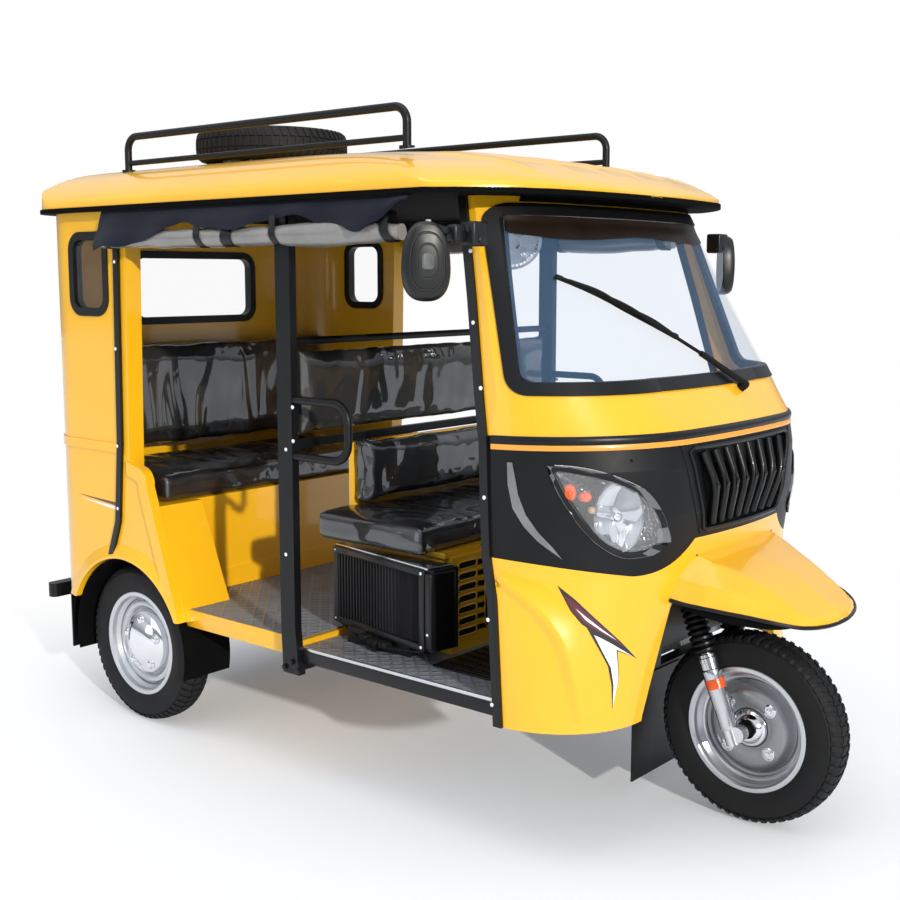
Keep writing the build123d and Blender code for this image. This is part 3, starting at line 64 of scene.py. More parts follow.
# ------------------------------------------------------------- camera and light
def aim(location, target):
    return (Vector(target) - Vector(location)).to_track_quat("-Z", "Y").to_euler()


def placed(name, data, location=(0, 0, 0), rotation=(0, 0, 0)):
    holder = bpy.data.objects.new(name, data)
    holder.location = location
    holder.rotation_euler = rotation
    bpy.context.collection.objects.link(holder)
    return holder


def make_camera():
    camera = bpy.data.cameras.new("camera")
    camera.sensor_width = SENSOR
    camera.lens = LENS
    bpy.context.scene.camera = placed(
        "camera", camera, CAMERA_AT,
        (math.radians(90 - CAMERA_DOWN), 0, math.radians(CAMERA_TURN)))


def area_light(name, location, target, size, power, colour=(1, 1, 1)):
    lamp = bpy.data.lights.new(name, "AREA")
    lamp.shape = "RECTANGLE"
    lamp.size, lamp.size_y = size
    lamp.energy = power
    lamp.color = colour
    placed(name, lamp, location, aim(location, target))


def make_lights():
    """Low warm sun from ahead on the right, and two large soft panels."""
    sun = bpy.data.lights.new("sun", "SUN")
    sun.energy = 2.9
    sun.angle = math.radians(1.6)
    sun.color = (1.0, 0.97, 0.90)
    placed("sun", sun, rotation=aim((0.878, -0.380, 0.300), (0, 0, 0)))
    area_light("top_panel", (0.4, -1.2, 5.2), (0.2, 0, 0.5), (4.0, 3.0), 60)
    area_light("side_panel", (-1.2, -5.0, 2.0), (-0.2, 0, 0.9), (3.5, 2.0), 26,
               (0.94, 0.97, 1.0))


def feed(nt, holder, inputs):
    """Give a node's sockets another node's output, or a constant of their own."""
    for key, value in inputs.items():
        if isinstance(value, bpy.types.NodeSocket):
            nt.links.new(value, holder.inputs[key])
        else:
            holder.inputs[key].default_value = value


def add(nt, kind, inputs=None, **settings):
    made = nt.nodes.new("ShaderNode" + kind)
    for key, value in settings.items():
        setattr(made, key, value)
    feed(nt, made, inputs or {})
    return made


def combine(nt, operation, *values):
    return add(nt, "Math", dict(enumerate(values)), operation=operation).outputs[0]


def graded(nt, value, start, end, low, high):
    """Smooth step of a value: low before start, high past end."""
    return add(nt, "MapRange", {"Value": value, "From Min": start, "From Max": end,
                                "To Min": low, "To Max": high},
               interpolation_type="SMOOTHSTEP").outputs["Result"]


def make_world():
    """Cool sky, dimmer towards the ground; the camera and the glass see plain white."""
    world = bpy.data.worlds.new("studio")
    bpy.context.scene.world = world
    world.use_nodes = True
    nt = world.node_tree
    nt.nodes.clear()
    up = add(nt, "SeparateXYZ", {0: add(nt, "TexCoord").outputs["Generated"]}).outputs["Z"]
    light = add(nt, "Background", {"Color": (0.86, 0.92, 1.0, 1),
                                   "Strength": graded(nt, up, -0.05, 0.45, 0.24, 0.84)})
    seen = add(nt, "Background", {"Color": (1, 1, 1, 1), "Strength": 1.0})
    path = add(nt, "LightPath").outputs
    clear = combine(nt, "MAXIMUM", path["Is Camera Ray"], path["Is Transmission Ray"])
    mix = add(nt, "MixShader", {"Fac": clear, 1: light.outputs[0], 2: seen.outputs[0]})
    add(nt, "OutputWorld", {"Surface": mix.outputs[0]})


# ------------------------------------------------------------------- materials
def new_material(name):
    mat = bpy.data.materials.new(name)
    mat.use_nodes = True
    nt = mat.node_tree
    return mat, nt, nt.nodes["Principled BSDF"]


def object_coordinates(nt, scale=(1, 1, 1)):
    place = add(nt, "TexCoord").outputs["Object"]
    return add(nt, "Mapping", {"Vector": place, "Scale": scale}).outputs["Vector"]


def noise(nt, vector, scale, detail=3.0, roughness=0.55):
    return add(nt, "TexNoise", {"Vector": vector, "Scale": scale, "Detail": detail,
                                "Roughness": roughness}).outputs["Fac"]


def colour_ramp(nt, value, stops):
    """Colour ramp over value; stops are (position, (r, g, b))."""
    node = add(nt, "ValToRGB", {"Fac": value})
    elements = node.color_ramp.elements
    for element, (position, colour) in zip(elements, stops):
        element.position = position
        element.color = (*colour, 1)
    return node.outputs["Color"]


def spread(nt, value, low, high):
    """Value from 0..1 spread over low..high."""
    return add(nt, "MapRange", {"Value": value, "To Min": low, "To Max": high}).outputs["Result"]


def bump(nt, shader, height, strength, distance, socket="Normal"):
    made = add(nt, "Bump", {"Height": height, "Strength": strength, "Distance": distance})
    nt.links.new(made.outputs["Normal"], shader.inputs[socket])


def pebbles(nt, place, scale):
    """Cell edges, as in the grain of leathercloth."""
    return add(nt, "TexVoronoi", {"Vector": place, "Scale": scale},
               feature="DISTANCE_TO_EDGE").outputs["Distance"]


def surface(name, colour, wander, scale, stretch=(1, 1, 1)):
    """New material whose colour wanders a little either side of colour."""
    mat, nt, shader = new_material(name)
    place = object_coordinates(nt, stretch)
    dark = tuple(c * (1 - wander) for c in colour)
    light = tuple(min(1, c * (1 + wander)) for c in colour)
    cloud = noise(nt, place, scale, 4)
    feed(nt, shader, {"Base Color": colour_ramp(nt, cloud, [(0.3, dark), (0.7, light)])})
    return mat, nt, shader, place


def paint(name, colour, roughness, coat, wander=0.035, peel=0.03, gloss=0.5):
    """Sprayed enamel: faint cloudiness, orange peel and a clear coat."""
    mat, nt, shader, place = surface(name, colour, wander, 2.2)
    rough = spread(nt, noise(nt, place, 9, 5), roughness * 0.8, roughness * 1.25)
    feed(nt, shader, {"Roughness": rough, "Coat Weight": coat, "Coat Roughness": 0.06,
                      "Specular IOR Level": gloss})
    bump(nt, shader, noise(nt, place, 260, 2), peel, 0.0006)
    return mat


def moulded(name, colour, roughness, grain=520.0, depth=0.12, gloss=0.5):
    """Moulded plastic or rubber: fine grain and uneven sheen."""
    mat, nt, shader, place = surface(name, colour, 0.14, 14)
    rough = spread(nt, noise(nt, place, 32, 4), roughness - 0.07, roughness + 0.08)
    feed(nt, shader, {"Roughness": rough, "Specular IOR Level": gloss})
    bump(nt, shader, noise(nt, place, grain, 3), depth, 0.0005)
    return mat


def metal(name, colour, roughness, metallic=1.0, spots=0.06, uneven=0.3, dents=0.05):
    """Bare or plated metal: faint spots, uneven polish and slight dents."""
    mat, nt, shader, place = surface(name, colour, spots, 30)
    rough = spread(nt, noise(nt, place, 24, 4), roughness * (1 - uneven),
                   roughness * (1 + uneven))
    feed(nt, shader, {"Roughness": rough, "Metallic": metallic})
    bump(nt, shader, noise(nt, place, 180, 4), dents, 0.0004)
    return mat


def fluted(name, colour, roughness):
    """Bright pressed metal broken into many small flutes and steps."""
    mat, nt, shader, place = surface(name, colour, 0.05, 40)
    rough = spread(nt, noise(nt, place, 70, 2), roughness * 0.7, roughness * 1.5)
    feed(nt, shader, {"Roughness": rough, "Metallic": 1.0})
    cells = add(nt, "TexVoronoi", {"Vector": place, "Scale": 95, "Randomness": 0.55},
                feature="F1")
    bump(nt, shader, cells.outputs["Distance"], 0.9, 0.004)
    return mat


def clear_pane(name, tint, alpha, roughness=0.02):
    """Thin glass: the pane's faces stay mostly see-through and keep their gloss."""
    mat, nt, shader = new_material(name)
    place = object_coordinates(nt)
    feed(nt, shader, {
        "Base Color": (*tint, 1), "IOR": 1.45, "Specular IOR Level": 0.6,
        "Roughness": spread(nt, noise(nt, place, 3, 2), roughness, roughness + 0.02),
        "Alpha": spread(nt, noise(nt, place, 5, 3), alpha * 0.9, alpha * 1.1)})
    return mat


def diamond_plate(name, colour):
    """Painted sheet with a pressed pattern of crossing ribs."""
    mat, nt, shader, place = surface(name, colour, 0.12, 12)
    crossed = []
    for angle in (45, -45):
        way = add(nt, "Mapping", {"Vector": place, "Rotation": (0, 0, math.radians(angle))})
        band = add(nt, "TexWave", {"Vector": way.outputs["Vector"], "Scale": 9.0},
                   wave_profile="SIN")
        crossed.append(combine(nt, "POWER", band.outputs["Fac"], 7.0))
    ribs = combine(nt, "MAXIMUM", *crossed)
    feed(nt, shader, {"Metallic": 0.05, "Roughness": spread(nt, ribs, 0.55, 0.32)})
    bump(nt, shader, ribs, 0.8, 0.004)
    return mat


def vinyl(name, colour, roughness=0.42):
    """Leathercloth: fine pebble grain."""
    mat, nt, shader, place = surface(name, colour, 0.2, 8)
    rough = spread(nt, noise(nt, place, 18, 4), roughness - 0.06, roughness + 0.1)
    feed(nt, shader, {"Roughness": rough})
    bump(nt, shader, pebbles(nt, place, 420), 0.25, 0.001)
    return mat


def canvas_cloth(name, colour):
    """Woven canvas: crossed threads under a soft sheen."""
    mat, nt, shader, place = surface(name, colour, 0.22, 10)
    feed(nt, shader, {"Roughness": 0.82, "Sheen Weight": 0.05, "Specular IOR Level": 0.2})
    threads = [add(nt, "TexWave", {"Vector": place, "Scale": 160, "Distortion": 0.6},
                   bands_direction=axis).outputs["Fac"] for axis in ("X", "Z")]
    bump(nt, shader, combine(nt, "MULTIPLY", *threads), 0.35, 0.001)
    return mat


def film_wrapped(name, colour, stretch):
    """Leathercloth under clear film: dark grain below, sharp stretched folds of gloss above."""
    mat, nt, shader, place = surface(name, colour, 0.25, 9)
    feed(nt, shader, {"Roughness": spread(nt, noise(nt, place, 20, 3), 0.46, 0.62),
                      "Coat Weight": 1.0, "Coat Roughness": 0.045, "Coat IOR": 1.75})
    bump(nt, shader, pebbles(nt, place, 380), 0.2, 0.001)
    pulled = object_coordinates(nt, stretch)
    folds = add(nt, "TexNoise", {"Vector": pulled, "Scale": 10.0, "Detail": 3.4,
                                 "Roughness": 0.42, "Distortion": 0.55},
                noise_type="RIDGED_MULTIFRACTAL").outputs["Fac"]
    height = combine(nt, "MULTIPLY_ADD", folds, 0.55, noise(nt, pulled, 2.6, 1, 0.4))
    bump(nt, shader, height, 1.0, 0.022, "Coat Normal")
    return mat


yellow_enamel = paint("yellow_enamel", (0.84, 0.43, 0.007), 0.30, 0.6)
black_enamel = paint("black_enamel", (0.004, 0.004, 0.0045), 0.34, 0.10, gloss=0.3)
frame_enamel = paint("frame_enamel", (0.004, 0.004, 0.0045), 0.40, 0.06, peel=0.06, gloss=0.25)
mask_plastic = moulded("mask_plastic", (0.0055, 0.006, 0.0065), 0.44, gloss=0.22)
seal_rubber = moulded("seal_rubber", (0.004, 0.004, 0.0045), 0.36, 300, gloss=0.3)
tyre_rubber = moulded("tyre_rubber", (0.008, 0.008, 0.0085), 0.66, 240, 0.2, gloss=0.25)
inner_black = moulded("inner_black", (0.004, 0.004, 0.004), 0.6, gloss=0.2)
wheel_silver = metal("wheel_silver", (0.60, 0.61, 0.63), 0.30, metallic=0.9, spots=0.02,
                     uneven=0.12, dents=0.012)
wheel_disc = metal("wheel_disc", (0.30, 0.305, 0.32), 0.36, metallic=0.8, spots=0.03,
                   uneven=0.15, dents=0.02)
polished_cap = metal("polished_cap", (0.80, 0.81, 0.83), 0.10, spots=0.01, uneven=0.2,
                     dents=0.006)
bright_steel = metal("bright_steel", (0.72, 0.73, 0.75), 0.18, spots=0.03)
cast_metal = metal("cast_metal", (0.20, 0.20, 0.21), 0.55)
radiator_alloy = metal("radiator_alloy", (0.03, 0.03, 0.034), 0.42, 0.7)
floor_plate = diamond_plate("floor_plate", (0.17, 0.18, 0.20))
dark_vinyl = vinyl("dark_vinyl", (0.012, 0.0125, 0.014))
wrapped_vinyl = film_wrapped("wrapped_vinyl", (0.006, 0.0065, 0.008), (0.35, 1, 1))
wrapped_back = film_wrapped("wrapped_back", (0.012, 0.011, 0.009), (1, 1, 0.30))
navy_canvas = canvas_cloth("navy_canvas", (0.0035, 0.0055, 0.014))
clear_glass = clear_pane("clear_glass", (0.16, 0.30, 0.52), 0.11)
window_glass = clear_pane("window_glass", (0.70, 0.74, 0.76), 0.03)
# painted shade: dark brown band standing in for the shaded header and its reflection seen through
# the windscreen
header_shade_band = moulded("header_shade_band", (0.0100, 0.0045, 0.0020), 0.35, gloss=0.12)
matt_black = moulded("matt_black", (0.0030, 0.0030, 0.0032), 0.85, gloss=0.05)
lamp_glass = clear_pane("lamp_glass", (0.94, 0.96, 0.98), 0.07)
white_plastic = moulded("white_plastic", (0.78, 0.80, 0.83), 0.4)

tan_stripe = paint("tan_stripe", (0.74, 0.31, 0.030), 0.35, 0.4)
decal_black = paint("decal_black", (0.010, 0.008, 0.009), 0.30, 0.5)
decal_maroon = paint("decal_maroon", (0.10, 0.012, 0.016), 0.28, 0.5)
decal_white = paint("decal_white", (0.80, 0.80, 0.78), 0.30, 0.5)
# pale grey: the mirror badge's own grey; on the mask's crescent it is a painted sheen on the
# moulded recess
grey_and_sheen = moulded("grey_and_sheen", (0.16, 0.165, 0.17), 0.34)
gap_black = moulded("gap_black", (0.003, 0.003, 0.003), 0.7, gloss=0.2)
reflector_chrome = metal("reflector_chrome", (0.80, 0.81, 0.83), 0.07, spots=0.03)
flute_chrome = fluted("flute_chrome", (0.30, 0.31, 0.33), 0.10)
bulb_cap = metal("bulb_cap", (0.90, 0.90, 0.92), 0.12)
amber_glass = moulded("amber_glass", (0.70, 0.09, 0.006), 0.16, 300, 0.3)
pale_amber = moulded("pale_amber", (0.52, 0.33, 0.12), 0.14, 300, 0.2)
film_edge = moulded("film_edge", (0.11, 0.115, 0.12), 0.16, 300, 0.1)
reflex_orange = moulded("reflex_orange", (0.78, 0.10, 0.012), 0.18, 420, 0.5)
# grey of the clear film, darkened as painted shade: the roll hangs in the shade of the eave
shaded_roll_film = moulded("shaded_roll_film", (0.20, 0.19, 0.18), 0.16, 60, 0.4, gloss=0.9)
moulded_black = moulded("moulded_black", (0.007, 0.007, 0.0075), 0.36, gloss=0.4)
mirror_glass = metal("mirror_glass", (0.80, 0.83, 0.86), 0.03, spots=0.01, dents=0.0)
satin_chrome = metal("satin_chrome", (0.62, 0.63, 0.65), 0.16, spots=0.02)

FINISH = {
    "yellow_paint": yellow_enamel, "black_paint": black_enamel, "frame_black": frame_enamel,
    "mask_black": mask_plastic, "steel": bright_steel, "silver": wheel_silver,
    "cast": cast_metal, "tyre": tyre_rubber, "rubber": seal_rubber, "glass": clear_glass,
    "lamp": lamp_glass, "leather": dark_vinyl, "canvas": navy_canvas,
    "floor_plate": floor_plate, "white": white_plastic, "aluminium": radiator_alloy,
}
# CAD nodes that don't take the finish of their slot
OWN_FINISH = {"roof_eave_and_ceiling": matt_black, "cabin_windows": window_glass}


def dress_nodes():
    """Every CAD node takes the finish of its slot in the record."""
    for part in frame["record"]["subparts"]:
        node = nodes[part["node"]]
        finish = OWN_FINISH.get(part["node"], FINISH[part["material_slot"]])
        if not node.material_slots:
            node.data.materials.append(finish)
        for holder in node.material_slots:
            holder.material = finish


# ------------------------------------------------------------------- modelling
def clamp(t):
    return max(0.0, min(1.0, t))


def ease(t):
    """Smooth step of a share from 0 to 1."""
    return t * t * (3 - 2 * t)


def polar(r, a, t=0.0):
    """Point at a distance and angle about the Z axis, and at a place along it."""
    return Vector((r * math.cos(a), r * math.sin(a), t))


def segment(at, count):
    """Which piece of a line of count points a place falls in, and the share along it."""
    i = min(int(at), count - 2)
    return i, at - i


def only(obj):
    bpy.ops.object.select_all(action="DESELECT")
    obj.select_set(True)
    bpy.context.view_layer.objects.active = obj


def edit(obj):
    only(obj)
    bpy.ops.object.mode_set(mode="EDIT")


def leave():
    bpy.ops.object.mode_set(mode="OBJECT")


def everything():
    bpy.ops.mesh.select_all(action="SELECT")


def named(name):
    """The object that was just added, under its own name."""
    obj = bpy.context.active_object
    obj.name = obj.data.name = name
    return obj


def pick(obj, test):
    """In edit mode, select the faces whose place passes the test."""
    bpy.ops.mesh.select_mode(type="FACE")
    bpy.ops.mesh.select_all(action="DESELECT")
    shape = bmesh.from_edit_mesh(obj.data)
    for face in shape.faces:
        face.select_set(bool(test(face.calc_center_median())))
    shape.select_flush_mode()
    bmesh.update_edit_mesh(obj.data)


def move_corners(obj, shift):
    """Move every corner of the mesh by a rule: its place gives its new place."""
    for corner in obj.data.vertices:
        corner.co = shift(corner.co.copy())


def set_in_mesh(obj):
    only(obj)
    bpy.ops.object.transform_apply(location=True, rotation=True, scale=True)


def modify(obj, kind, **settings):
    only(obj)
    modifier = obj.modifiers.new(kind.lower(), kind)
    for key, value in settings.items():
        setattr(modifier, key, value)
    bpy.ops.object.modifier_apply(modifier=modifier.name)


def outward(obj):
    """Close the seams and turn every face outward."""
    edit(obj)
    everything()
    bpy.ops.mesh.remove_doubles(threshold=WELD)
    bpy.ops.mesh.normals_make_consistent(inside=False)
    leave()


def cube(name, low, high, bevel=0.0, segments=3):
    low, high = Vector(low), Vector(high)
    bpy.ops.mesh.primitive_cube_add(size=1, location=(low + high) / 2, scale=high - low)
    obj = named(name)
    set_in_mesh(obj)
    if bevel:
        edit(obj)
        everything()
        bpy.ops.mesh.bevel(offset=bevel, segments=segments, affect="EDGES")
        leave()
    return obj


def spun(name, profile, centre, axis="Y", steps=48):
    """Ring of profile points (distance from the axis, place along it), spun about the axis."""
    bpy.ops.mesh.primitive_circle_add(vertices=len(profile), radius=1, location=(0, 0, 0))
    obj = named(name)
    for corner, (r, t) in zip(obj.data.vertices, profile):
        corner.co = (r, t, 0) if axis == "Y" else (r, 0, t)
    edit(obj)
    everything()
    direction = (0, 1, 0) if axis == "Y" else (0, 0, 1)
    bpy.ops.mesh.spin(steps=steps, angle=2 * math.pi, center=(0, 0, 0), axis=direction)
    leave()
    outward(obj)
    centre = Vector(centre)
    move_corners(obj, lambda p: p + centre)
    return obj


def turned(name, profile, turn, at, steps=36):
    """Piece spun about +Z, then turned and set at a place."""
    obj = spun(name, profile, (0, 0, 0), "Z", steps)
    move_corners(obj, lambda p: turn @ p + at)
    return obj


def pipe(name, points, radius, sides=12, round_by=0.0, closed=False):
    """Tube along a path of points, its corners rounded when round_by is given."""
    path = [Vector(p) for p in points]
    if round_by:
        rounded = [path[0]]
        for before, at, after in zip(path, path[1:], path[2:]):
            back, ahead = before - at, after - at
            reach = min(round_by, back.length * 0.45, ahead.length * 0.45)
            start, end = at + back.normalized() * reach, at + ahead.normalized() * reach
            for i in range(7):
                t = i / 6
                rounded.append(start * (1 - t) ** 2 + at * 2 * t * (1 - t) + end * t ** 2)
        path = rounded + [path[-1]]
    curve = bpy.data.curves.new(name, "CURVE")
    curve.dimensions = "3D"
    curve.bevel_depth = radius
    curve.bevel_resolution = max(0, sides // 4 - 1)
    curve.use_fill_caps = True
    spline = curve.splines.new("POLY")
    spline.points.add(len(path) - 1)
    for point, place in zip(spline.points, path):
        point.co = (*place, 1)
    spline.use_cyclic_u = closed
    only(placed(name, curve))
    bpy.ops.object.convert(target="MESH")
    return named(name)


def mirrored_y(obj, name):
    twin = obj.copy()
    twin.data = obj.data.copy()
    twin.name = twin.data.name = name
    bpy.context.collection.objects.link(twin)
    move_corners(twin, lambda p: Vector((p.x, -p.y, p.z)))
    twin.data.flip_normals()
    return twin


def joined(name, pieces):
    bpy.ops.object.select_all(action="DESELECT")
    for piece in pieces:
        piece.select_set(True)
    bpy.context.view_layer.objects.active = pieces[0]
    bpy.ops.object.join()
    return named(name)


def wear(obj, finish, body="chassis", smooth=30):
    """Give a finished piece its material, its smoothing and the body that it rides on."""
    set_in_mesh(obj)
    obj.data.materials.clear()
    obj.data.materials.append(finish)
    for face in obj.data.polygons:
        face.material_index = 0
    only(obj)
    bpy.ops.object.shade_smooth_by_angle(angle=math.radians(smooth))
    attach(obj, body)
    return obj


def both(obj, finish, smooth=40):
    """Dress a piece of the right side and its mirror image on the left."""
    wear(obj, finish, "chassis", smooth)
    twin = mirrored_y(obj, obj.name.replace("right", "left"))
    wear(twin, finish, "chassis", smooth)
    return obj, twin


# ------------------------------------------------------- laying things on the skin
skins = {}


def skin(*names):
    """Search tree over the merged surfaces of some CAD nodes."""
    if names not in skins:
        shape = bmesh.new()
        for name in names:
            shape.from_mesh(nodes[name].data)
        skins[names] = BVHTree.FromBMesh(shape)
        shape.free()
    return skins[names]


def onto(tree, start, direction):
    """Where a line from start first meets the surface, and the outward normal there."""
    direction = Vector(direction).normalized()
    place, normal, _, _ = tree.ray_cast(Vector(start), direction)
    if place is None:
        place, normal, _, _ = tree.find_nearest(Vector(start))
    if normal.dot(direction) > 0:
        normal = -normal
    return place, normal


def patch(name, outline, place, cell=0.012, thickness=0.0012, lift=0.0008):
    """Flat outline cut into small cells, laid on a surface and given thickness.

    outline is a list of (u, v); place(u, v) gives a point on the surface and its normal."""
    bpy.ops.mesh.primitive_circle_add(vertices=len(outline), radius=1, fill_type="NGON")
    obj = named(name)
    for corner, (u, v) in zip(obj.data.vertices, outline):
        corner.co = (u, v, 0)
    edit(obj)
    for axis, k in (((1, 0, 0), 0), ((0, 1, 0), 1)):
        low, high = min(p[k] for p in outline), max(p[k] for p in outline)
        steps = max(1, int((high - low) / cell))
        for i in range(1, steps):
            at = low + (high - low) * i / steps
            everything()
            bpy.ops.mesh.bisect(plane_co=tuple(a * at for a in axis), plane_no=axis)
    everything()
    bpy.ops.mesh.quads_convert_to_tris()
    leave()
    for corner in obj.data.vertices:
        p, n = place(corner.co.x, corner.co.y)
        corner.co = p + n * (lift + thickness / 2)
    _, n = place(*outline[0])
    if obj.data.polygons[0].normal.dot(n) < 0:
        obj.data.flip_normals()
    modify(obj, "SOLIDIFY", thickness=thickness, offset=0.0)
    outward(obj)
    return obj


# -------------------------------------------------------------- padded pieces
STUFFING = dict(use_pressure=True, quality=5, tension_stiffness=14, compression_stiffness=6,
                shear_stiffness=6, bending_stiffness=0.8)


def padded_block(name, low, high, corner, cell, pressure, cap, rest=None):
    """Stuffed block: a rounded box blown up by a short cloth simulation.

    rest is the direction of the face that stays flat, because it lies on a board."""
    low, high = Vector(low), Vector(high)
    obj = cube(name, low, high, corner, 3)
    edit(obj)
    for axis, k in (((1, 0, 0), 0), ((0, 1, 0), 1), ((0, 0, 1), 2)):
        steps = max(2, int(round((high[k] - low[k]) / cell)))
        for i in range(1, steps):
            at = [0, 0, 0]
            at[k] = low[k] + (high[k] - low[k]) * i / steps
            everything()
            bpy.ops.mesh.bisect(plane_co=at, plane_no=axis)
    leave()
    start = [corner_point.co.copy() for corner_point in obj.data.vertices]
    only(obj)
    cloth = obj.modifiers.new("stuffing", "CLOTH")
    for key, value in STUFFING.items():
        setattr(cloth.settings, key, value)
    cloth.settings.uniform_pressure_force = pressure
    cloth.settings.effector_weights.gravity = 0
    cloth.point_cache.frame_start, cloth.point_cache.frame_end = 1, 20
    scene = bpy.context.scene
    for frame_number in range(1, 21):
        scene.frame_set(frame_number)
    bpy.ops.object.modifier_apply(modifier=cloth.name)
    scene.frame_set(1)
    for corner_point, old in zip(obj.data.vertices, start):
        shift = corner_point.co - old
        if shift.length > cap:
            shift *= cap / shift.length
        if rest is not None and (old - low).dot(Vector(rest)) > 0:
            shift -= Vector(rest) * max(0.0, shift.dot(Vector(rest)))
        corner_point.co = old + shift
    return obj


def creased(obj, depth, seed, along, scale=6.0):
    """Shallow stretched creases, as in film pulled over a cushion."""
    along = Vector(along).normalized()
    for corner, normal in [(v, v.normal.copy()) for v in obj.data.vertices]:
        p = corner.co
        stretched = p - along * p.dot(along) * 0.72
        fold = field.ridged_multi_fractal(stretched * scale + Vector((seed, seed * 2, 0)),
                                          0.9, 2.1, 3, 0.9, 2.0)
        corner.co = p + normal * depth * (fold - 0.9)


def wrapped(name, node, corner, cell, pressure, cap, seed, along, rest=None, depth=0.004,
            finish=wrapped_vinyl):
    """Padded piece in the space of a CAD node, its film creased along one direction."""
    low, high = (Vector(end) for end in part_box(node))
    give = Vector((0.008, 0.008, 0.008))
    low_in, high_in = low + give, high - give
    if rest is not None:
        for k in range(3):
            if rest[k] > 0:
                high_in[k] = high[k]
            if rest[k] < 0:
                low_in[k] = low[k]
    obj = padded_block(name, low_in, high_in, corner, cell, pressure, cap, rest)
    creased(obj, depth, seed, along)

    def stay(p):
        for k in range(3):
            p[k] = min(max(p[k], low[k] - 0.004), high[k] + 0.006)
        return p

    move_corners(obj, stay)
    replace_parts(wear(obj, finish, "chassis", smooth=60), node)


def make_seats():
    wrapped("bench_seat_cushion", "bench_cushion", 0.022, 0.016, 5, 0.016, 3, (1, 0, 0),
            (0, 0, -1))
    wrapped("driver_seat_cushion", "driver_cushion", 0.022, 0.014, 5, 0.014, 7, (1, 0.4, 0),
            (0, 0, -1))
    wrapped("bench_back_cushion", "bench_backrest", 0.022, 0.014, 6, 0.022, 11, (0, 0.35, 1),
            (-1, 0, 0), depth=0.007, finish=wrapped_back)
    wrapped("partition_cushion", "partition_pad", 0.014, 0.013, 6, 0.012, 17, (0, 0.6, 1),
            finish=wrapped_back)
    wrapped("driver_back_cushion", "driver_backrest", 0.020, 0.014, 5, 0.014, 23, (0, 0.5, 1))


# ---------------------------------------------------------------------- wheels
TREAD_STEPS = 60
def there_and_back(side):
    """Section through a wheel from its half, one edge to the other."""
    return side + [(r, -t) for r, t in reversed(side)]


TYRE_SECTION = there_and_back([   # (radius, place across) from the bead to the tread's middle
    (0.1653, 0.0437), (0.176, 0.0452), (0.186, 0.0500), (0.204, 0.0540), (0.224, 0.0548),
    (0.238, 0.0522), (0.2425, 0.0518), (0.247, 0.0480), (0.2560, 0.0410), (0.2590, 0.0370),
    (0.2632, 0.0180), (0.2640, 0.0145)])
TREAD_R, TREAD_TOP_R = 0.2500, 0.2675
GROOVE_IN, GROOVE_OUT = 0.0145, 0.0185   # edges of the round groove beside the middle ribs


def tread_tyre(name, centre, axis="Y"):
    """Tyre spun from its section; every second step of the tread is raised as a block."""
    obj = spun(name, TYRE_SECTION, (0, 0, 0), "Y", steps=TREAD_STEPS * 2)
    step = math.pi / TREAD_STEPS

    def on_block(c):
        if math.hypot(c.x, c.z) <= TREAD_R or GROOVE_IN <= abs(c.y) <= GROOVE_OUT:
            return False
        return int(math.floor(math.atan2(c.z, c.x) / step)) % 2 == (0 if c.y > GROOVE_IN else 1)

    edit(obj)
    for test, height in (
            (on_block, 0.0042),
            (lambda c: math.hypot(c.x, c.z) > TREAD_R and GROOVE_IN < abs(c.y) < GROOVE_OUT,
             -0.0022)):
        pick(obj, test)
        bpy.ops.mesh.extrude_region_shrink_fatten(
            MESH_OT_extrude_region={}, TRANSFORM_OT_shrink_fatten={"value": height})
    leave()

    def settle(p):
        """Hold the blocks to the tyre's size and sweep them back towards its shoulders."""
        reach = math.hypot(p.x, p.z)
        held = min(reach, TREAD_TOP_R)
        swirl = 0.055 * max(0.0, (abs(p.y) - 0.006) / 0.04) if reach > 0.247 else 0.0
        turn = math.atan2(p.z, p.x) + swirl
        return Vector((held * math.cos(turn), p.y, held * math.sin(turn)))

    centre = Vector(centre)
    move_corners(obj, settle)
    if axis == "Z":
        move_corners(obj, lambda p: Vector((p.x, -p.z, p.y)) + centre)
    else:
        move_corners(obj, lambda p: p + centre)
    return obj


WHEEL_STEPS = 72
RIM_CHANNEL = there_and_back([
    (0.1650, 0.0440), (0.1752, 0.0440), (0.1764, 0.0456), (0.1764, 0.0478), (0.1745, 0.0490),
    (0.1640, 0.0488), (0.1600, 0.0450), (0.1585, 0.0300), (0.1490, 0.0180)]) + [
    (0.1636, -0.0330), (0.1540, -0.0200), (0.1540, 0.0200), (0.1636, 0.0330)]


def nut(name, centre, across=0.011, height=0.010):
    """Hexagon nut with eased edges, its axis across the vehicle."""
    bpy.ops.mesh.primitive_cylinder_add(vertices=6, radius=across, depth=height,
                                        location=centre, rotation=(math.pi / 2, 0, 0))
    obj = named(name)
    set_in_mesh(obj)
    edit(obj)
    everything()
    bpy.ops.mesh.bevel(offset=across * 0.16, segments=2, affect="EDGES")
    leave()
    return obj


def around(angle, radius, centre, y):
    return (centre[0] + radius * math.cos(angle), y, centre[2] + radius * math.sin(angle))


def hub_piece(name, profile, centre, sign, steps=64):
    """Ring spun about the wheel's axle; profile's second number runs outward from the middle."""
    obj = spun(name, profile, (0, 0, 0), "Y", steps)
    centre = Vector(centre)
    move_corners(obj, lambda p: Vector((p.x, sign * p.y, p.z)) + centre)
    outward(obj)
    return obj


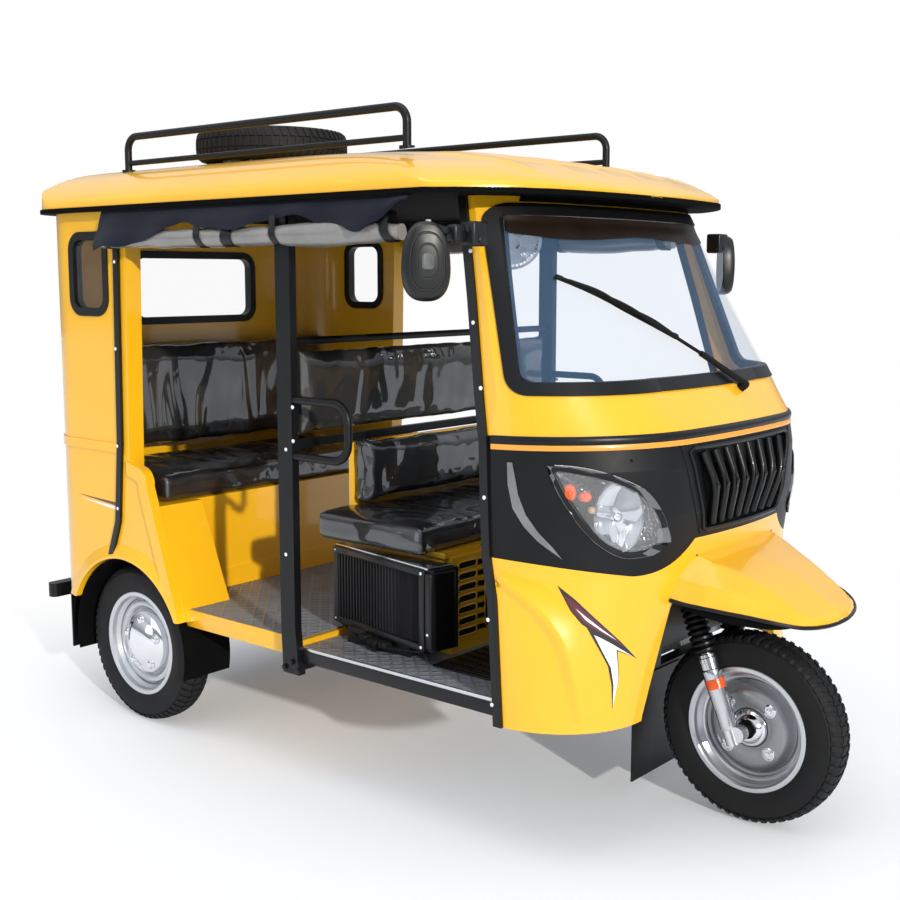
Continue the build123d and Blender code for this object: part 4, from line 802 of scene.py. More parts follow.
def rear_wheel(name, sign):
    """Rear wheel: stepped channel, dished disc, polished cap and its round-headed nuts."""
    centre = (REAR_AXLE_X, sign * REAR_WHEEL_Y, TYRE_R)
    channel = spun(name + "_channel", RIM_CHANNEL, centre, "Y", WHEEL_STEPS)
    disc = hub_piece(name + "_disc", [
        (0.1500, 0.002), (0.1475, 0.012), (0.1440, 0.013), (0.1400, 0.020), (0.1340, 0.0225),
        (0.1270, 0.0225), (0.1200, 0.017), (0.1150, 0.006), (0.1080, 0.002), (0.1080, -0.006),
        (0.1450, -0.006)], centre, sign, WHEEL_STEPS)
    cap = hub_piece(name + "_cap", [
        (0.1095, 0.004), (0.1085, 0.020), (0.1050, 0.0300), (0.0980, 0.0350), (0.0860, 0.0380),
        (0.0760, 0.0430), (0.0640, 0.0495), (0.0480, 0.0545), (0.0300, 0.0575), (0.0120, 0.0588),
        (0.0008, 0.0590), (0.0008, 0.0500), (0.0500, 0.0440), (0.0850, 0.0280),
        (0.1020, 0.0200), (0.1050, 0.004)], centre, sign, WHEEL_STEPS)
    heads = []
    for i in range(5):
        angle = math.radians(90 + 72 * i)
        at = around(angle, 0.080, centre, centre[1] + sign * 0.038)
        heads.append(hub_piece(f"{name}_nut_{i}", [
            (0.0180, -0.006), (0.0180, 0.002), (0.0150, 0.0040), (0.0135, 0.0060),
            (0.0105, 0.0105), (0.0050, 0.0125), (0.0004, 0.0128), (0.0004, -0.006)],
            at, sign, 20))
    hub = hub_piece(name + "_hub", [(0.0325, -0.042), (0.0325, 0.020), (0.0125, 0.020),
                                    (0.0125, -0.042)], centre, sign, 32)
    body = name.replace("_polished_rim", "_wheel")
    rim = joined(name, [channel, disc, hub])
    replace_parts(wear(rim, wheel_silver, body), body.replace("_wheel", "_rim"))
    wear(joined(name + "_cap", [cap] + heads), polished_cap, body)


def front_wheel():
    """Front wheel: bright channel, darker pressed disc, nut seats and an open hub."""
    centre = (FRONT_AXLE_X, 0, TYRE_R)
    channel = [spun("front_channel", RIM_CHANNEL, centre, "Y", WHEEL_STEPS)]
    discs, bright, dark = [], [], []
    for sign in (-1, 1):
        channel.append(hub_piece("front_step", [
            (0.1500, 0.000), (0.1490, 0.018), (0.1450, 0.0205), (0.1405, 0.0180),
            (0.1395, 0.006), (0.1440, -0.002)], centre, sign, WHEEL_STEPS))
        discs.append(hub_piece("front_disc", [
            (0.1400, 0.004), (0.1330, 0.002), (0.1240, 0.006), (0.1150, 0.017), (0.1080, 0.024),
            (0.1000, 0.0270), (0.0700, 0.0280), (0.0640, 0.0255), (0.0560, 0.0235),
            (0.0520, 0.0150), (0.0520, 0.0080), (0.1080, 0.0100), (0.1330, -0.004)],
            centre, sign, WHEEL_STEPS))
        bright.append(hub_piece("front_hub", [
            (0.0530, 0.008), (0.0530, 0.0240), (0.0500, 0.0290), (0.0430, 0.0320),
            (0.0360, 0.0420), (0.0320, 0.0450), (0.0270, 0.0450), (0.0250, 0.0420),
            (0.0240, 0.0300), (0.0240, 0.008)], centre, sign, 48))
        dark.append(hub_piece("front_bearing", [
            (0.0245, 0.020), (0.0245, 0.0330), (0.0125, 0.0330), (0.0125, 0.020)],
            centre, sign, 32))
        for i in range(4):
            at = around(math.radians(45 + 90 * i), 0.086, centre, sign * 0.0275)
            bright.append(hub_piece("front_boss", [
                (0.0195, -0.004), (0.0185, 0.002), (0.0150, 0.0035), (0.0135, 0.0020),
                (0.0004, 0.0020), (0.0004, -0.004)], at, sign, 20))
            bright.append(nut("front_nut", (at[0], at[1] + sign * 0.006, at[2]), 0.0095))
    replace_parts(wear(joined("front_wheel_rim", channel), wheel_silver, "front_wheel"),
                "front_rim")
    wear(joined("front_wheel_disc", discs), wheel_disc, "front_wheel")
    wear(joined("front_wheel_hub", bright), polished_cap, "front_wheel")
    wear(joined("front_wheel_bearing", dark), inner_black, "front_wheel")


def make_wheels():
    for side, sign in (("left", 1), ("right", -1)):
        body = f"rear_{side}_wheel"
        tyre = tread_tyre(f"rear_{side}_tread_tyre", (REAR_AXLE_X, sign * REAR_WHEEL_Y, TYRE_R))
        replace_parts(wear(tyre, tyre_rubber, body), f"rear_{side}_tyre")
        rear_wheel(f"rear_{side}_polished_rim", sign)
    tyre = tread_tyre("front_tread_tyre", (FRONT_AXLE_X, 0, TYRE_R))
    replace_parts(wear(tyre, tyre_rubber, "front_wheel"), "front_tyre")
    front_wheel()
    low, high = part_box("spare_tyre")
    middle = (Vector(low) + Vector(high)) / 2
    tyre = tread_tyre("spare_tread_tyre", middle, "Z")
    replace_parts(wear(tyre, tyre_rubber, "chassis"), "spare_tyre")


# ------------------------------------------------------- belt, mask and decals
CAB_SKIN = ("cab_cowl", "nose_mask", "front_wings")
CAB_CENTRE_X = 1.30          # upright axis that the cab's skin is seen from
CAB_REACH = 0.6              # metres along the skin for one radian about that axis
CAB_END = math.radians(70.0)  # the cab's rear edge at the belt
OUTSIDE = 1.2                # how far out from the cab's axis the search lines start
AHEAD = 2.4                  # place ahead of the nose, or above the roof, that they start from


def axle(x, y, z):
    """Point measured from the rear axle and the ground, in the part's frame."""
    return Vector((x + REAR_AXLE_X, y, z))


def flat_way(angle):
    """Level direction at this angle to straight ahead."""
    return polar(1, angle)


def cab_at(angle, z, out=0.0):
    """Point on the cab's outer skin at this angle about the cab's axis, moved out."""
    outward_way = flat_way(angle)
    tree, reach = skin(*CAB_SKIN), 0.0
    for near in (0.0, -0.0012, 0.0012):
        start = axle(CAB_CENTRE_X, 0, z + near) + outward_way * OUTSIDE
        place, _, _, away = tree.ray_cast(start, -outward_way)
        if place is not None:
            reach = max(reach, OUTSIDE - away)
    return axle(CAB_CENTRE_X, 0, z) + outward_way * (reach + out)


def cab_angle(x, y):
    return math.atan2(y, x - CAB_CENTRE_X)


def laid(name, cells, place, thickness):
    """Grid laid by a rule: (u, v) from 0 to 1 gives each corner's place; then thickened."""
    across, along = cells
    bpy.ops.mesh.primitive_grid_add(x_subdivisions=across, y_subdivisions=along, size=1)
    obj = named(name)
    move_corners(obj, lambda p: place(p.x + 0.5, p.y + 0.5))
    outward(obj)
    if thickness:
        modify(obj, "SOLIDIFY", thickness=thickness, offset=0.0)
        outward(obj)
    return obj


def belt_top(angle):
    """The belt climbs a little from the cab's sides to its nose."""
    return 1.1035 + 0.0105 * math.cos(angle) ** 1.5


def make_belt():
    def bead(u, v):
        angle = (2 * u - 1) * CAB_END
        return cab_at(angle, belt_top(angle) - 0.0195 * v,
                      0.0014 + 0.0034 * math.sin(math.pi * v) ** 0.6)

    def stripe(u, v):
        angle = (2 * u - 1) * CAB_END
        return cab_at(angle, belt_top(angle) - 0.0215 - 0.0135 * v,
                      0.0016 + 0.0010 * math.sin(math.pi * v) ** 0.5)

    wear(laid("belt_bead", (96, 8), bead, 0.0024), seal_rubber, "chassis")
    wear(laid("belt_stripe", (96, 4), stripe, 0.0012), tan_stripe, "chassis")


def along_cab(places):
    """Places (x, y, z) in millimetres as (metres round the cab, height)."""
    return [(cab_angle(x / 1000, y / 1000) * CAB_REACH, z / 1000) for x, y, z in places]


def on_cab(name, outline, thickness, lift, cell=0.012):
    """Flat shape laid on the cab; outline is a list of (x, y, z) places in millimetres."""
    tree = skin(*CAB_SKIN)

    def place(u, v):
        way = flat_way(u / CAB_REACH)
        return onto(tree, axle(CAB_CENTRE_X, 0, v) + way * OUTSIDE, -way)

    return patch(name, along_cab(outline), place, cell, thickness, lift)


CRESCENT = [(1577, -625, 1040), (1580, -626, 985), (1594, -624, 925), (1622, -615, 881),
            (1657, -600, 843), (1709, -569, 800), (1688, -583, 831), (1657, -601, 867),
            (1627, -613, 910), (1607, -619, 960), (1597, -621, 1010), (1590, -622, 1040)]
DART = [(1699, -575, 733), (1728, -557, 668), (1753, -542, 634), (1782, -514, 608),
        (1812, -473, 576), (1839, -415, 531), (1817, -464, 586), (1780, -512, 643),
        (1737, -551, 698)]
DART_RED = [(1711, -569, 712), (1733, -555, 668), (1757, -539, 638), (1786, -509, 612),
            (1814, -469, 583), (1825, -442, 561), (1812, -470, 589), (1779, -513, 638),
            (1742, -548, 686)]
DART_LINE = [(1738, -551, 676), (1760, -534, 644), (1790, -503, 613), (1812, -470, 588),
             (1787, -505, 621), (1758, -532, 653)]
BOLT = [(1762, -534, 626), (1785, -512, 569), (1802, -495, 524), (1809, -487, 472),
        (1811, -487, 411), (1819, -470, 484), (1818, -470, 529), (1816, -472, 560),
        (1838, -417, 535), (1806, -483, 588), (1785, -510, 606)]
BOLT_WHITE = [(1776, -521, 606), (1793, -505, 560), (1807, -489, 520), (1812, -483, 472),
              (1812, -486, 416), (1818, -471, 484), (1816, -472, 529), (1814, -475, 565),
              (1833, -428, 541), (1803, -487, 583), (1785, -511, 600)]


def make_decals():
    for name, outline, finish, lift in (
            ("dart", DART, decal_black, 0.0003), ("dart_red", DART_RED, decal_maroon, 0.0008),
            ("dart_line", DART_LINE, decal_white, 0.0013), ("bolt", BOLT, decal_black, 0.0003),
            ("bolt_white", BOLT_WHITE, decal_white, 0.0008)):
        both(on_cab(f"right_wing_{name}", outline, 0.0005, lift), finish, 30)


def make_mask_details():
    """Grey crescent, a painted sheen on the mask's moulded recess; the seam beside the grille and
    one screw on each side of the mask.
    """
    # painted highlight: the grey crescent stands in for the light sheen along the mask's moulded
    # recess
    crescent_sheen = on_cab("right_mask_crescent", CRESCENT, 0.0024, 0.0002, 0.010)
    both(crescent_sheen, grey_and_sheen, 40)
    seam = [cab_at(cab_angle(x / 1000, -y / 1000), z / 1000, 0.0002) for x, y, z in (
        (1886, 309, 1082), (1893, 301, 1050), (1899, 290, 1015), (1904, 270, 950),
        (1906, 253, 900), (1904, 232, 860), (1902, 222, 838))]
    both(pipe("right_mask_seam", seam, 0.0016, 8), gap_black, 30)
    angle = cab_angle(1.830, -0.446)
    place, normal = onto(skin("nose_mask"), cab_at(angle, 1.048, 0.3), -flat_way(angle))
    dot = turned("right_mask_screw", [(0.0001, 0.0022), (0.0040, 0.0018), (0.0046, 0.0002),
                                      (0.0046, -0.002), (0.0001, -0.002)],
                 normal.to_track_quat("Z", "Y"), place, 16)
    both(dot, gap_black, 30)


CREST = 0.34                 # where across its width the wing's step is highest
WING_CREASE = [(1556, -640, 737), (1592, -632, 713), (1629, -619, 687), (1655, -609, 664),
               (1680, -599, 636), (1703, -588, 602), (1720, -580, 566), (1733, -574, 521),
               (1743, -571, 486), (1751, -569, 450), (1757, -567, 418), (1761, -566, 384)]


def make_wing_crease():
    """Soft pressed step that sweeps down each front wing."""
    line = along_cab(WING_CREASE)

    def place(u, v):
        i, t = segment(u * (len(line) - 1), len(line))
        a, b = Vector(line[i]), Vector(line[i + 1])
        spot, run = a.lerp(b, t), (b - a).normalized()
        across = Vector((-run.y, run.x))
        fade = math.sin(math.pi * clamp(u * 0.94 + 0.03)) ** 0.5
        spot = spot + across * (0.090 * v - 0.020) * (0.50 + 0.50 * fade)
        rise = ease(v / CREST) if v < CREST else (1 - (v - CREST) / (1 - CREST)) ** 1.8
        return cab_at(spot.x / CAB_REACH, spot.y, -0.0006 + 0.0115 * rise * fade)

    crease = laid("right_wing_crease", (44, 18), place, 0.0012)
    both(crease, yellow_enamel, 80)


# ------------------------------------------------------------------ headlights
LAMP_AT = (1.800, 0.470)
LAMP_TURN = math.radians(48.1)       # the lamp's axis, out from straight ahead
LAMP_EDGE = [(-176, 1038), (-110, 1036), (-40, 1023), (20, 1003), (74, 974), (110, 935),
             (136, 885), (152, 826), (124, 808), (85, 799), (20, 799), (-25, 819), (-62, 850),
             (-112, 912), (-142, 960), (-162, 1000)]
LENS_EDGE = [(-150, 1021), (-98, 1016), (-36, 1003), (18, 985), (64, 959), (98, 925),
             (121, 880), (133, 838), (114, 824), (80, 817), (30, 816), (-16, 836), (-50, 865),
             (-94, 921), (-122, 962), (-138, 993)]


def round_loop(points, count):
    """Smooth closed line through the points (Catmull-Rom), as count evenly numbered places."""
    n = len(points)
    line = []
    for k in range(count):
        at = k * n / count
        i, t = int(at), at - int(at)
        p0, p1, p2, p3 = (Vector(points[(i + j - 1) % n]) for j in range(4))
        line.append(0.5 * ((2 * p1) + (p2 - p0) * t + (2 * p0 - 5 * p1 + 4 * p2 - p3) * t ** 2
                           + (3 * p1 - p0 - 3 * p2 + p3) * t ** 3))
    return line


LAMP_STEPS = 72
LAMP_MIDDLE = Vector((5, 915))
LAMP_OUT = flat_way(LAMP_TURN)
LAMP_ALONG = Vector((LAMP_OUT.y, -LAMP_OUT.x, 0))


def lamp_point(s, z, ahead):
    """Place by the left lamp: along its face, height, and how far ahead of its plane."""
    return axle(*LAMP_AT, 0) + LAMP_ALONG * s / 1000 + Vector((0, 0, z / 1000)) + LAMP_OUT * ahead


def behind_lens(s, z, depth):
    """Place inside the left lamp, measured back from its front skin."""
    tree, start = skin("headlights"), lamp_point(s, z, 0.4)
    place, _, _, _ = tree.ray_cast(start, -LAMP_OUT)
    if place is None:
        place, _, _, _ = tree.find_nearest(start - LAMP_OUT * 0.33)
    return place - LAMP_OUT * depth


def lamp_rings(name, rings, thickness):
    """Shell through rings of the left lamp; each ring is (shape, share, depth).

    shape is a loop on the lamp's own plane, share how near it is to the lens's middle,
    and depth how far it lies behind the lamp's front skin."""
    last = len(rings) - 1
    bpy.ops.mesh.primitive_grid_add(x_subdivisions=LAMP_STEPS, y_subdivisions=last, size=1)
    obj = named(name)
    rows = [[behind_lens(*shape[k].lerp(LAMP_MIDDLE, share), depth) for k in range(LAMP_STEPS)]
            for shape, share, depth in rings]
    move_corners(obj, lambda p: rows[round((p.y + 0.5) * last)][
        round((p.x + 0.5) * LAMP_STEPS) % LAMP_STEPS])
    outward(obj)
    if sum((f.normal for f in obj.data.polygons), Vector()).dot(LAMP_OUT) < 0:
        obj.data.flip_normals()
    modify(obj, "SOLIDIFY", thickness=thickness, offset=-1.0)
    outward(obj)
    return obj


def facing_lamp(obj, at):
    """Turn a piece made about +Z to face out of the left lamp, and put it at a place."""
    turn = LAMP_OUT.to_track_quat("Z", "Y")
    move_corners(obj, lambda p: at + turn @ p)
    return obj


def bulb(name, radius, length, at, flat=1.0):
    """Glass bulb: a rounded cone on a short collar."""
    obj = spun(name, [(radius * 0.55, -length * 0.3), (radius * 0.6, 0), (radius, length * 0.28),
                      (radius * 0.95, length * 0.6), (radius * 0.62, length * 0.9),
                      (0.0002, length), (0.0002, -length * 0.3)], (0, 0, 0), "Z", 24)
    move_corners(obj, lambda p: Vector((p.x, p.y * flat, p.z)))
    return facing_lamp(obj, at)


def oval(name, profile):
    """Upright oval about the reflector's middle; profile is (share of its radius, height)."""
    obj = spun(name, [(r * 0.082, t) for r, t in profile], (0, 0, 0), "Z", 64)
    move_corners(obj, lambda p: Vector((p.x * 0.75, p.y * 1.08, p.z)))
    return facing_lamp(obj, behind_lens(9, 905, 0.012))


def make_headlights():
    """Bezel, lens, fluted bowl, oval reflector and the bulbs of each headlight."""
    edge, lens = round_loop(LAMP_EDGE, LAMP_STEPS), round_loop(LENS_EDGE, LAMP_STEPS)
    bezel = lamp_rings("left_lamp_bezel", [
        (edge, 0.000, 0.0100), (edge, 0.004, 0.0050), (edge, 0.020, 0.0032),
        (lens, -0.070, 0.0036), (lens, -0.035, 0.0040), (lens, -0.012, 0.0062),
        (lens, -0.006, 0.0110)], 0.0022)
    rim = lamp_rings("left_lamp_edge", [
        (edge, -0.003, 0.0090), (edge, -0.002, 0.0030), (edge, 0.010, 0.0018),
        (edge, 0.016, 0.0035)], 0.0012)
    glass = lamp_rings("left_lamp_lens", [
        (lens, -0.012, 0.0085), (lens, 0.000, 0.0042), (lens, 0.06, 0.0016),
        (lens, 0.25, 0.0004), (lens, 0.6, 0.0), (lens, 0.985, 0.0)], 0.0020)
    bowl = lamp_rings("left_lamp_bowl", [
        (lens, -0.004, 0.0090), (lens, 0.03, 0.0170), (lens, 0.07, 0.0200),
        (lens, 0.10, 0.0420), (lens, 0.30, 0.0620), (lens, 0.60, 0.0820),
        (lens, 0.985, 0.0880)], 0.0016)
    dish = oval("left_lamp_dish", [
        (1.00, -0.008), (0.96, -0.014), (0.86, -0.026), (0.66, -0.043), (0.40, -0.055),
        (0.16, -0.061), (0.002, -0.062), (0.002, -0.067), (0.5, -0.060), (1.00, -0.020)])
    ring_piece = oval("left_lamp_ring", [(1.06, -0.012), (1.055, -0.004), (1.02, -0.001),
                                         (0.985, -0.006), (0.985, -0.012)])
    pieces = [(bezel, black_enamel, "mask_black", 50), (rim, film_edge, "glass", 50),
              (glass, lamp_glass, "lamp", 70), (bowl, flute_chrome, "steel", 40),
              (dish, reflector_chrome, "steel", 60), (ring_piece, bright_steel, "steel", 60)]
    for tag, radius, length, at, flat, finish, slot in (
            ("bulb", 0.016, 0.040, (6, 903, 0.058), 1.0, bulb_cap, "steel"),
            ("side_bulb_a", 0.0095, 0.024, (-60, 922, 0.038), 1.0, pale_amber, "lamp"),
            ("side_bulb_b", 0.0095, 0.024, (70, 926, 0.038), 1.0, pale_amber, "lamp"),
            ("amber_a", 0.0185, 0.034, (-117, 968, 0.034), 1.25, amber_glass, "lamp"),
            ("amber_b", 0.0175, 0.032, (-78, 957, 0.036), 0.8, amber_glass, "lamp")):
        pieces.append((bulb(f"left_lamp_{tag}", radius, length, behind_lens(*at), flat),
                       finish, slot, 60))
    for obj, finish, slot, smooth in pieces:
        wear(obj, finish, "chassis", smooth)
        twin = mirrored_y(obj, obj.name.replace("left", "right"))
        wear(twin, finish, "chassis", smooth)
    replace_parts(bezel, "headlights")


# ------------------------------------------------------------- small fittings
def dome(name, place, normal, radius=0.006, height=0.003):
    """Round-headed screw standing on a surface."""
    return turned(name, [(0.0001, height), (radius * 0.62, height * 0.86), (radius, height * 0.3),
                         (radius, -0.001), (0.0001, -0.001)],
                  Vector(normal).to_track_quat("Z", "Y"), Vector(place), 14)


POST_SCREWS = [(0.820, 1.131), (0.820, 1.033), (0.789, 1.006), (0.781, 0.694)]
STRIP_SCREWS = [(1.442, 1.452), (1.489, 1.222), (1.519, 0.946), (1.532, 0.640),
                (1.410, 1.640), (1.556, 0.420)]
SEAM_SCREWS = [(0.018, 1.55), (0.008, 1.27), (-0.002, 0.95), (-0.012, 0.74)]


def make_screws():
    heads = [dome("screw", axle(x, -0.6532, z), (0, -1, 0), 0.0055) for x, z in POST_SCREWS]
    tree = skin("trim_strips")
    for x, z in STRIP_SCREWS + SEAM_SCREWS:
        place, _ = onto(tree, axle(x, -1.0, z), (0, 1, 0))
        heads.append(dome("screw", place, (0, -1, 0), 0.0055))
    both(joined("right_white_screws", heads), white_plastic)
    bolts = []
    for x, z in ((0.800, 0.372), (0.770, 0.352), (0.828, 0.350), (0.800, 1.680)):
        bolt = nut("bolt", (0, 0, 0), 0.009, 0.008)
        move_corners(bolt, lambda p: p + axle(x, -0.657, z))
        bolts.append(bolt)
    both(joined("right_post_bolts", bolts), frame_enamel, 30)


# ------------------------------------------------------------------ radiator
RADIATOR_AT = (1.034, -0.461, 0.462)
RADIATOR_YAW = math.radians(-10.2)
FINS, FIN_PITCH = 80, 0.0050


def on_radiator(obj):
    """Move a piece made about the radiator's own middle to its place beside the seat box."""
    turn, at = Matrix.Rotation(RADIATOR_YAW, 3, "Z"), axle(*RADIATOR_AT)
    move_corners(obj, lambda p: turn @ p + at)
    return obj


def make_radiator():
    """Fine upright fins between tubes, in a rolled frame with end tanks and corner screws."""
    face = -0.048
    core = [cube("back", (-0.216, face + 0.012, 0.014), (0.190, face + 0.016, 0.220))]
    for i in range(FINS):
        x = -0.209 + i * FIN_PITCH
        core.append(cube("fin", (x, face + 0.0035, 0.018), (x + 0.0013, face + 0.013, 0.214)))
    wear(on_radiator(joined("radiator_fins", core)), radiator_alloy, "chassis")
    frame_bars = [((-0.232, 0.0), (-0.208, 0.232)), ((0.184, 0.0), (0.206, 0.232)),
                  ((-0.226, -0.004), (0.200, 0.017)), ((-0.226, 0.213), (0.200, 0.234))]
    bars = [cube("bar", (low[0], face - 0.006, low[1]), (high[0], face + 0.016, high[1]), 0.0035)
            for low, high in frame_bars]
    tank = cube("tank", (0.205, face - 0.002, 0.004), (0.2325, 0.044, 0.226), 0.006)
    wear(on_radiator(joined("radiator_frame", bars + [tank])), black_enamel, "chassis")
    lid = cube("radiator_top", (-0.226, face + 0.001, 0.2325), (0.216, 0.046, 0.2395), 0.0015)
    wear(on_radiator(lid), satin_chrome, "chassis")
    heads = [dome("screw", (x, face - 0.006, z), (0, -1, 0), 0.0045)
             for x, z in ((-0.220, 0.222), (0.195, 0.222), (-0.220, 0.010), (0.195, 0.010))]
    heads.append(dome("screw", (0.219, face - 0.002, 0.050), (0, -1, 0), 0.004))
    wear(on_radiator(joined("radiator_screws", heads)), white_plastic, "chassis")
    latch = []
    for x0, x1, z0, z1 in ((-0.075, -0.040, -0.030, -0.004), (-0.036, 0.014, -0.036, -0.008),
                           (0.020, 0.052, -0.028, -0.006), (-0.010, 0.004, -0.045, -0.030)):
        latch.append(cube("latch", (x0, face - 0.030, z0), (x1, face + 0.004, z1), 0.006))
    for x, z in ((-0.057, -0.017), (-0.024, -0.020), (0.004, -0.022), (0.036, -0.018)):
        latch.append(dome("latch", (x, face - 0.030, z), (0, -1, 0), 0.0075, 0.004))
    latch.append(pipe("latch", [(-0.20, face, -0.004), (-0.10, face - 0.02, -0.022),
                                (0.07, face - 0.02, -0.020), (0.20, face, -0.006)],
                      0.004, 8, 0.03))
    wear(on_radiator(joined("radiator_latch", latch)), inner_black, "chassis", 40)


# ------------------------------------------------------------- driver's place
def rounded_slot(name, width, height, radius, depth):
    """Upright plate with round corners, in the YZ plane about the origin."""
    outline = []
    for cy, cz, start in ((width / 2 - radius, height / 2 - radius, 0),
                          (radius - width / 2, height / 2 - radius, 90),
                          (radius - width / 2, radius - height / 2, 180),
                          (width / 2 - radius, radius - height / 2, 270)):
        for k in range(5):
            a = math.radians(start + 22.5 * k)
            outline.append((cy + radius * math.cos(a), cz + radius * math.sin(a)))
    bpy.ops.mesh.primitive_circle_add(vertices=len(outline), radius=1, fill_type="NGON")
    obj = named(name)
    for corner, (y, z) in zip(obj.data.vertices, outline):
        corner.co = (0, y, z)
    modify(obj, "SOLIDIFY", thickness=depth, offset=0.0)
    outward(obj)
    return obj, [(0, y, z) for y, z in outline]


def make_seat_box_vents():
    """Cooling slots in the seat box's front face, each with a pressed lip."""
    x = 1.2055
    holes, lips = [], []
    rows = [(-0.330, 0.4705 + 0.0335 * i, 0.082, 0.0205) for i in range(7)]
    rows += [(-0.218, 0.672, 0.060, 0.030), (-0.218, 0.545, 0.060, 0.170),
             (-0.120, 0.672, 0.060, 0.030), (-0.120, 0.545, 0.060, 0.170)]
    for y, z, w, h in rows:
        hole, line = rounded_slot("slot", w, h, min(w, h) * 0.48, 0.0012)
        at = axle(x, y, z)
        move_corners(hole, lambda p: p + at)
        lip = pipe("lip", [Vector(p) + at + Vector((0.0006, 0, 0)) for p in line], 0.0016, 8,
                   closed=True)
        holes.append(hole)
        lips.append(lip)
    wear(joined("seat_box_slots", holes), gap_black, "chassis")
    wear(joined("seat_box_slot_lips", lips), yellow_enamel, "chassis", 60)


def plate(name, low, high, finish, bevel=0.002, smooth=30):
    return wear(cube(name, axle(*low), axle(*high), bevel), finish, "chassis", smooth)


def make_floors():
    """Chequered tread on the passenger floor and the sill, a bright sill edge, cab mat."""
    plate("passenger_floor_tread", (0.140, -0.6195, 0.4340), (0.800, 0.6195, 0.4362),
          floor_plate, 0.0006)
    for side in (-1, 1):
        tag = "left" if side > 0 else "right"
        low, high = sorted((side * 0.6205, side * 0.6245))
        plate(f"{tag}_floor_edge", (0.250, low, 0.380), (0.800, high, 0.4362), yellow_enamel,
              0.0012)
        low, high = sorted((side * 0.548, side * 0.6335))
        plate(f"{tag}_sill_tread", (0.815, low, 0.4148), (1.560, high, 0.4168), floor_plate,
              0.0006)
        low, high = sorted((side * 0.6280, side * 0.6355))
        plate(f"{tag}_sill_edge", (0.815, low, 0.4080), (1.560, high, 0.4185), satin_chrome,
              0.0018)
    plate("cab_mat", (1.235, -0.520, 0.4148), (1.585, 0.520, 0.4205), seal_rubber,
          0.0018)
    ribs = []
    for i in range(26):
        y = -0.500 + 0.040 * i
        ribs.append(cube("rib", axle(1.250, y - 0.009, 0.4200), axle(1.575, y + 0.009, 0.4232),
                         0.0014, 2))
    wear(joined("cab_mat_ribs", ribs), seal_rubber, "chassis")


# ------------------------------------------------------------------- curtains
def wave(u, table):
    """Smooth value through a table of (place, value), both ends level."""
    for (a, low), (b, high) in zip(table, table[1:]):
        if a <= u <= b:
            return low + (high - low) * ease((u - a) / (b - a))
    return table[0][1] if u < table[0][0] else table[-1][1]


FLAP_EDGE = [(-0.03, 1.590), (0.08, 1.596), (0.20, 1.604), (0.34, 1.652), (0.42, 1.662),
             (0.55, 1.640), (0.66, 1.640), (0.84, 1.668), (0.90, 1.668), (1.04, 1.640),
             (1.16, 1.622), (1.20, 1.640), (1.30, 1.700)]
ROLL_R = [(-0.02, 0.024), (0.20, 0.023), (0.27, 0.026), (0.36, 0.025), (0.48, 0.028),
          (0.60, 0.027), (0.78, 0.027), (1.00, 0.033), (1.20, 0.026), (1.27, 0.019)]
STRAPS = [(-0.002, 0.020), (0.470, 0.026), (0.610, 0.046), (0.800, 0.024), (1.225, 0.030)]
ROLL_Y, ROLL_Z, FLAP_TOP = -0.683, 1.618, 1.711


def make_curtains():
    """Rolled clear-film curtain under the eave, its wavy canvas flap and the straps."""
    def roll(u, v):
        x = -0.022 + 1.298 * u
        angle = 2 * math.pi * v
        crease = field.noise(Vector((x * 14, math.cos(angle) * 1.3, math.sin(angle) * 1.3)))
        lap = 0.0035 * (v if v < 0.9 else (1 - v) * 9)
        pinch = min(abs(x - at) / 0.05 for at, _ in STRAPS)
        radius = wave(x, ROLL_R) * (0.90 + 0.10 * min(1.0, pinch)) + 0.0022 * crease + lap
        return axle(x, ROLL_Y + radius * math.cos(angle) * 0.95, ROLL_Z + radius * math.sin(angle))

    tube = laid("right_curtain_roll", (120, 24), roll, 0.0)
    edit(tube)
    everything()
    bpy.ops.mesh.remove_doubles(threshold=0.0001)
    bpy.ops.mesh.select_all(action="DESELECT")
    bpy.ops.mesh.select_mode(type="EDGE")
    bpy.ops.mesh.select_non_manifold()
    bpy.ops.mesh.edge_face_add()
    everything()
    bpy.ops.mesh.normals_make_consistent(inside=False)
    leave()
    # the roll's darkened grey is partly painted shade of the eave above it
    first = both(tube, shaded_roll_film, 60)
    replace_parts(first[0], "side_curtains")

    def flap(u, v):
        x = -0.030 + 1.340 * u
        low = wave(x, FLAP_EDGE) + 0.004 * math.sin(x * 37)
        z = FLAP_TOP + (low - FLAP_TOP) * v
        swell = 0.5 + 0.5 * math.sin(x * 11.3 + 0.8) + 0.25 * math.sin(x * 23.0)
        out = 0.004 + (0.016 + 0.012 * swell) * math.sin(math.pi * min(1.0, v * 0.62)) \
            + 0.004 * v * math.sin(x * 29)
        cover = max(0.0, (ROLL_Z + 0.036 - z) / 0.05)
        return axle(x, -0.680 - out - 0.018 * min(1.0, cover), z)

    cloth = laid("right_curtain_flap", (110, 14), flap, 0.0016)
    pair = both(cloth, navy_canvas, 60)
    loops = []
    for x, width in STRAPS:
        def strap(u, v, x=x, width=width):
            angle = 2 * math.pi * v + math.pi / 2
            radius = wave(x, ROLL_R) * 0.92 + 0.0045
            lean = 0.010 * (1 - math.sin(angle)) if width < 0.04 else 0.0
            rise = 0.030 if math.sin(angle) > 0.75 else 0.0
            return axle(x + (u - 0.5) * width + lean, ROLL_Y + radius * math.cos(angle),
                        ROLL_Z + radius * math.sin(angle) + rise)
        loops.append(laid("strap", (4, 28), strap, 0.0022))
    both(joined("right_curtain_straps", loops), seal_rubber, 50)


# --------------------------------------------------------------------- mirrors
MIRROR_AT = (1.420, -0.756, 1.540)
MIRROR_YAW = math.radians(50.0)


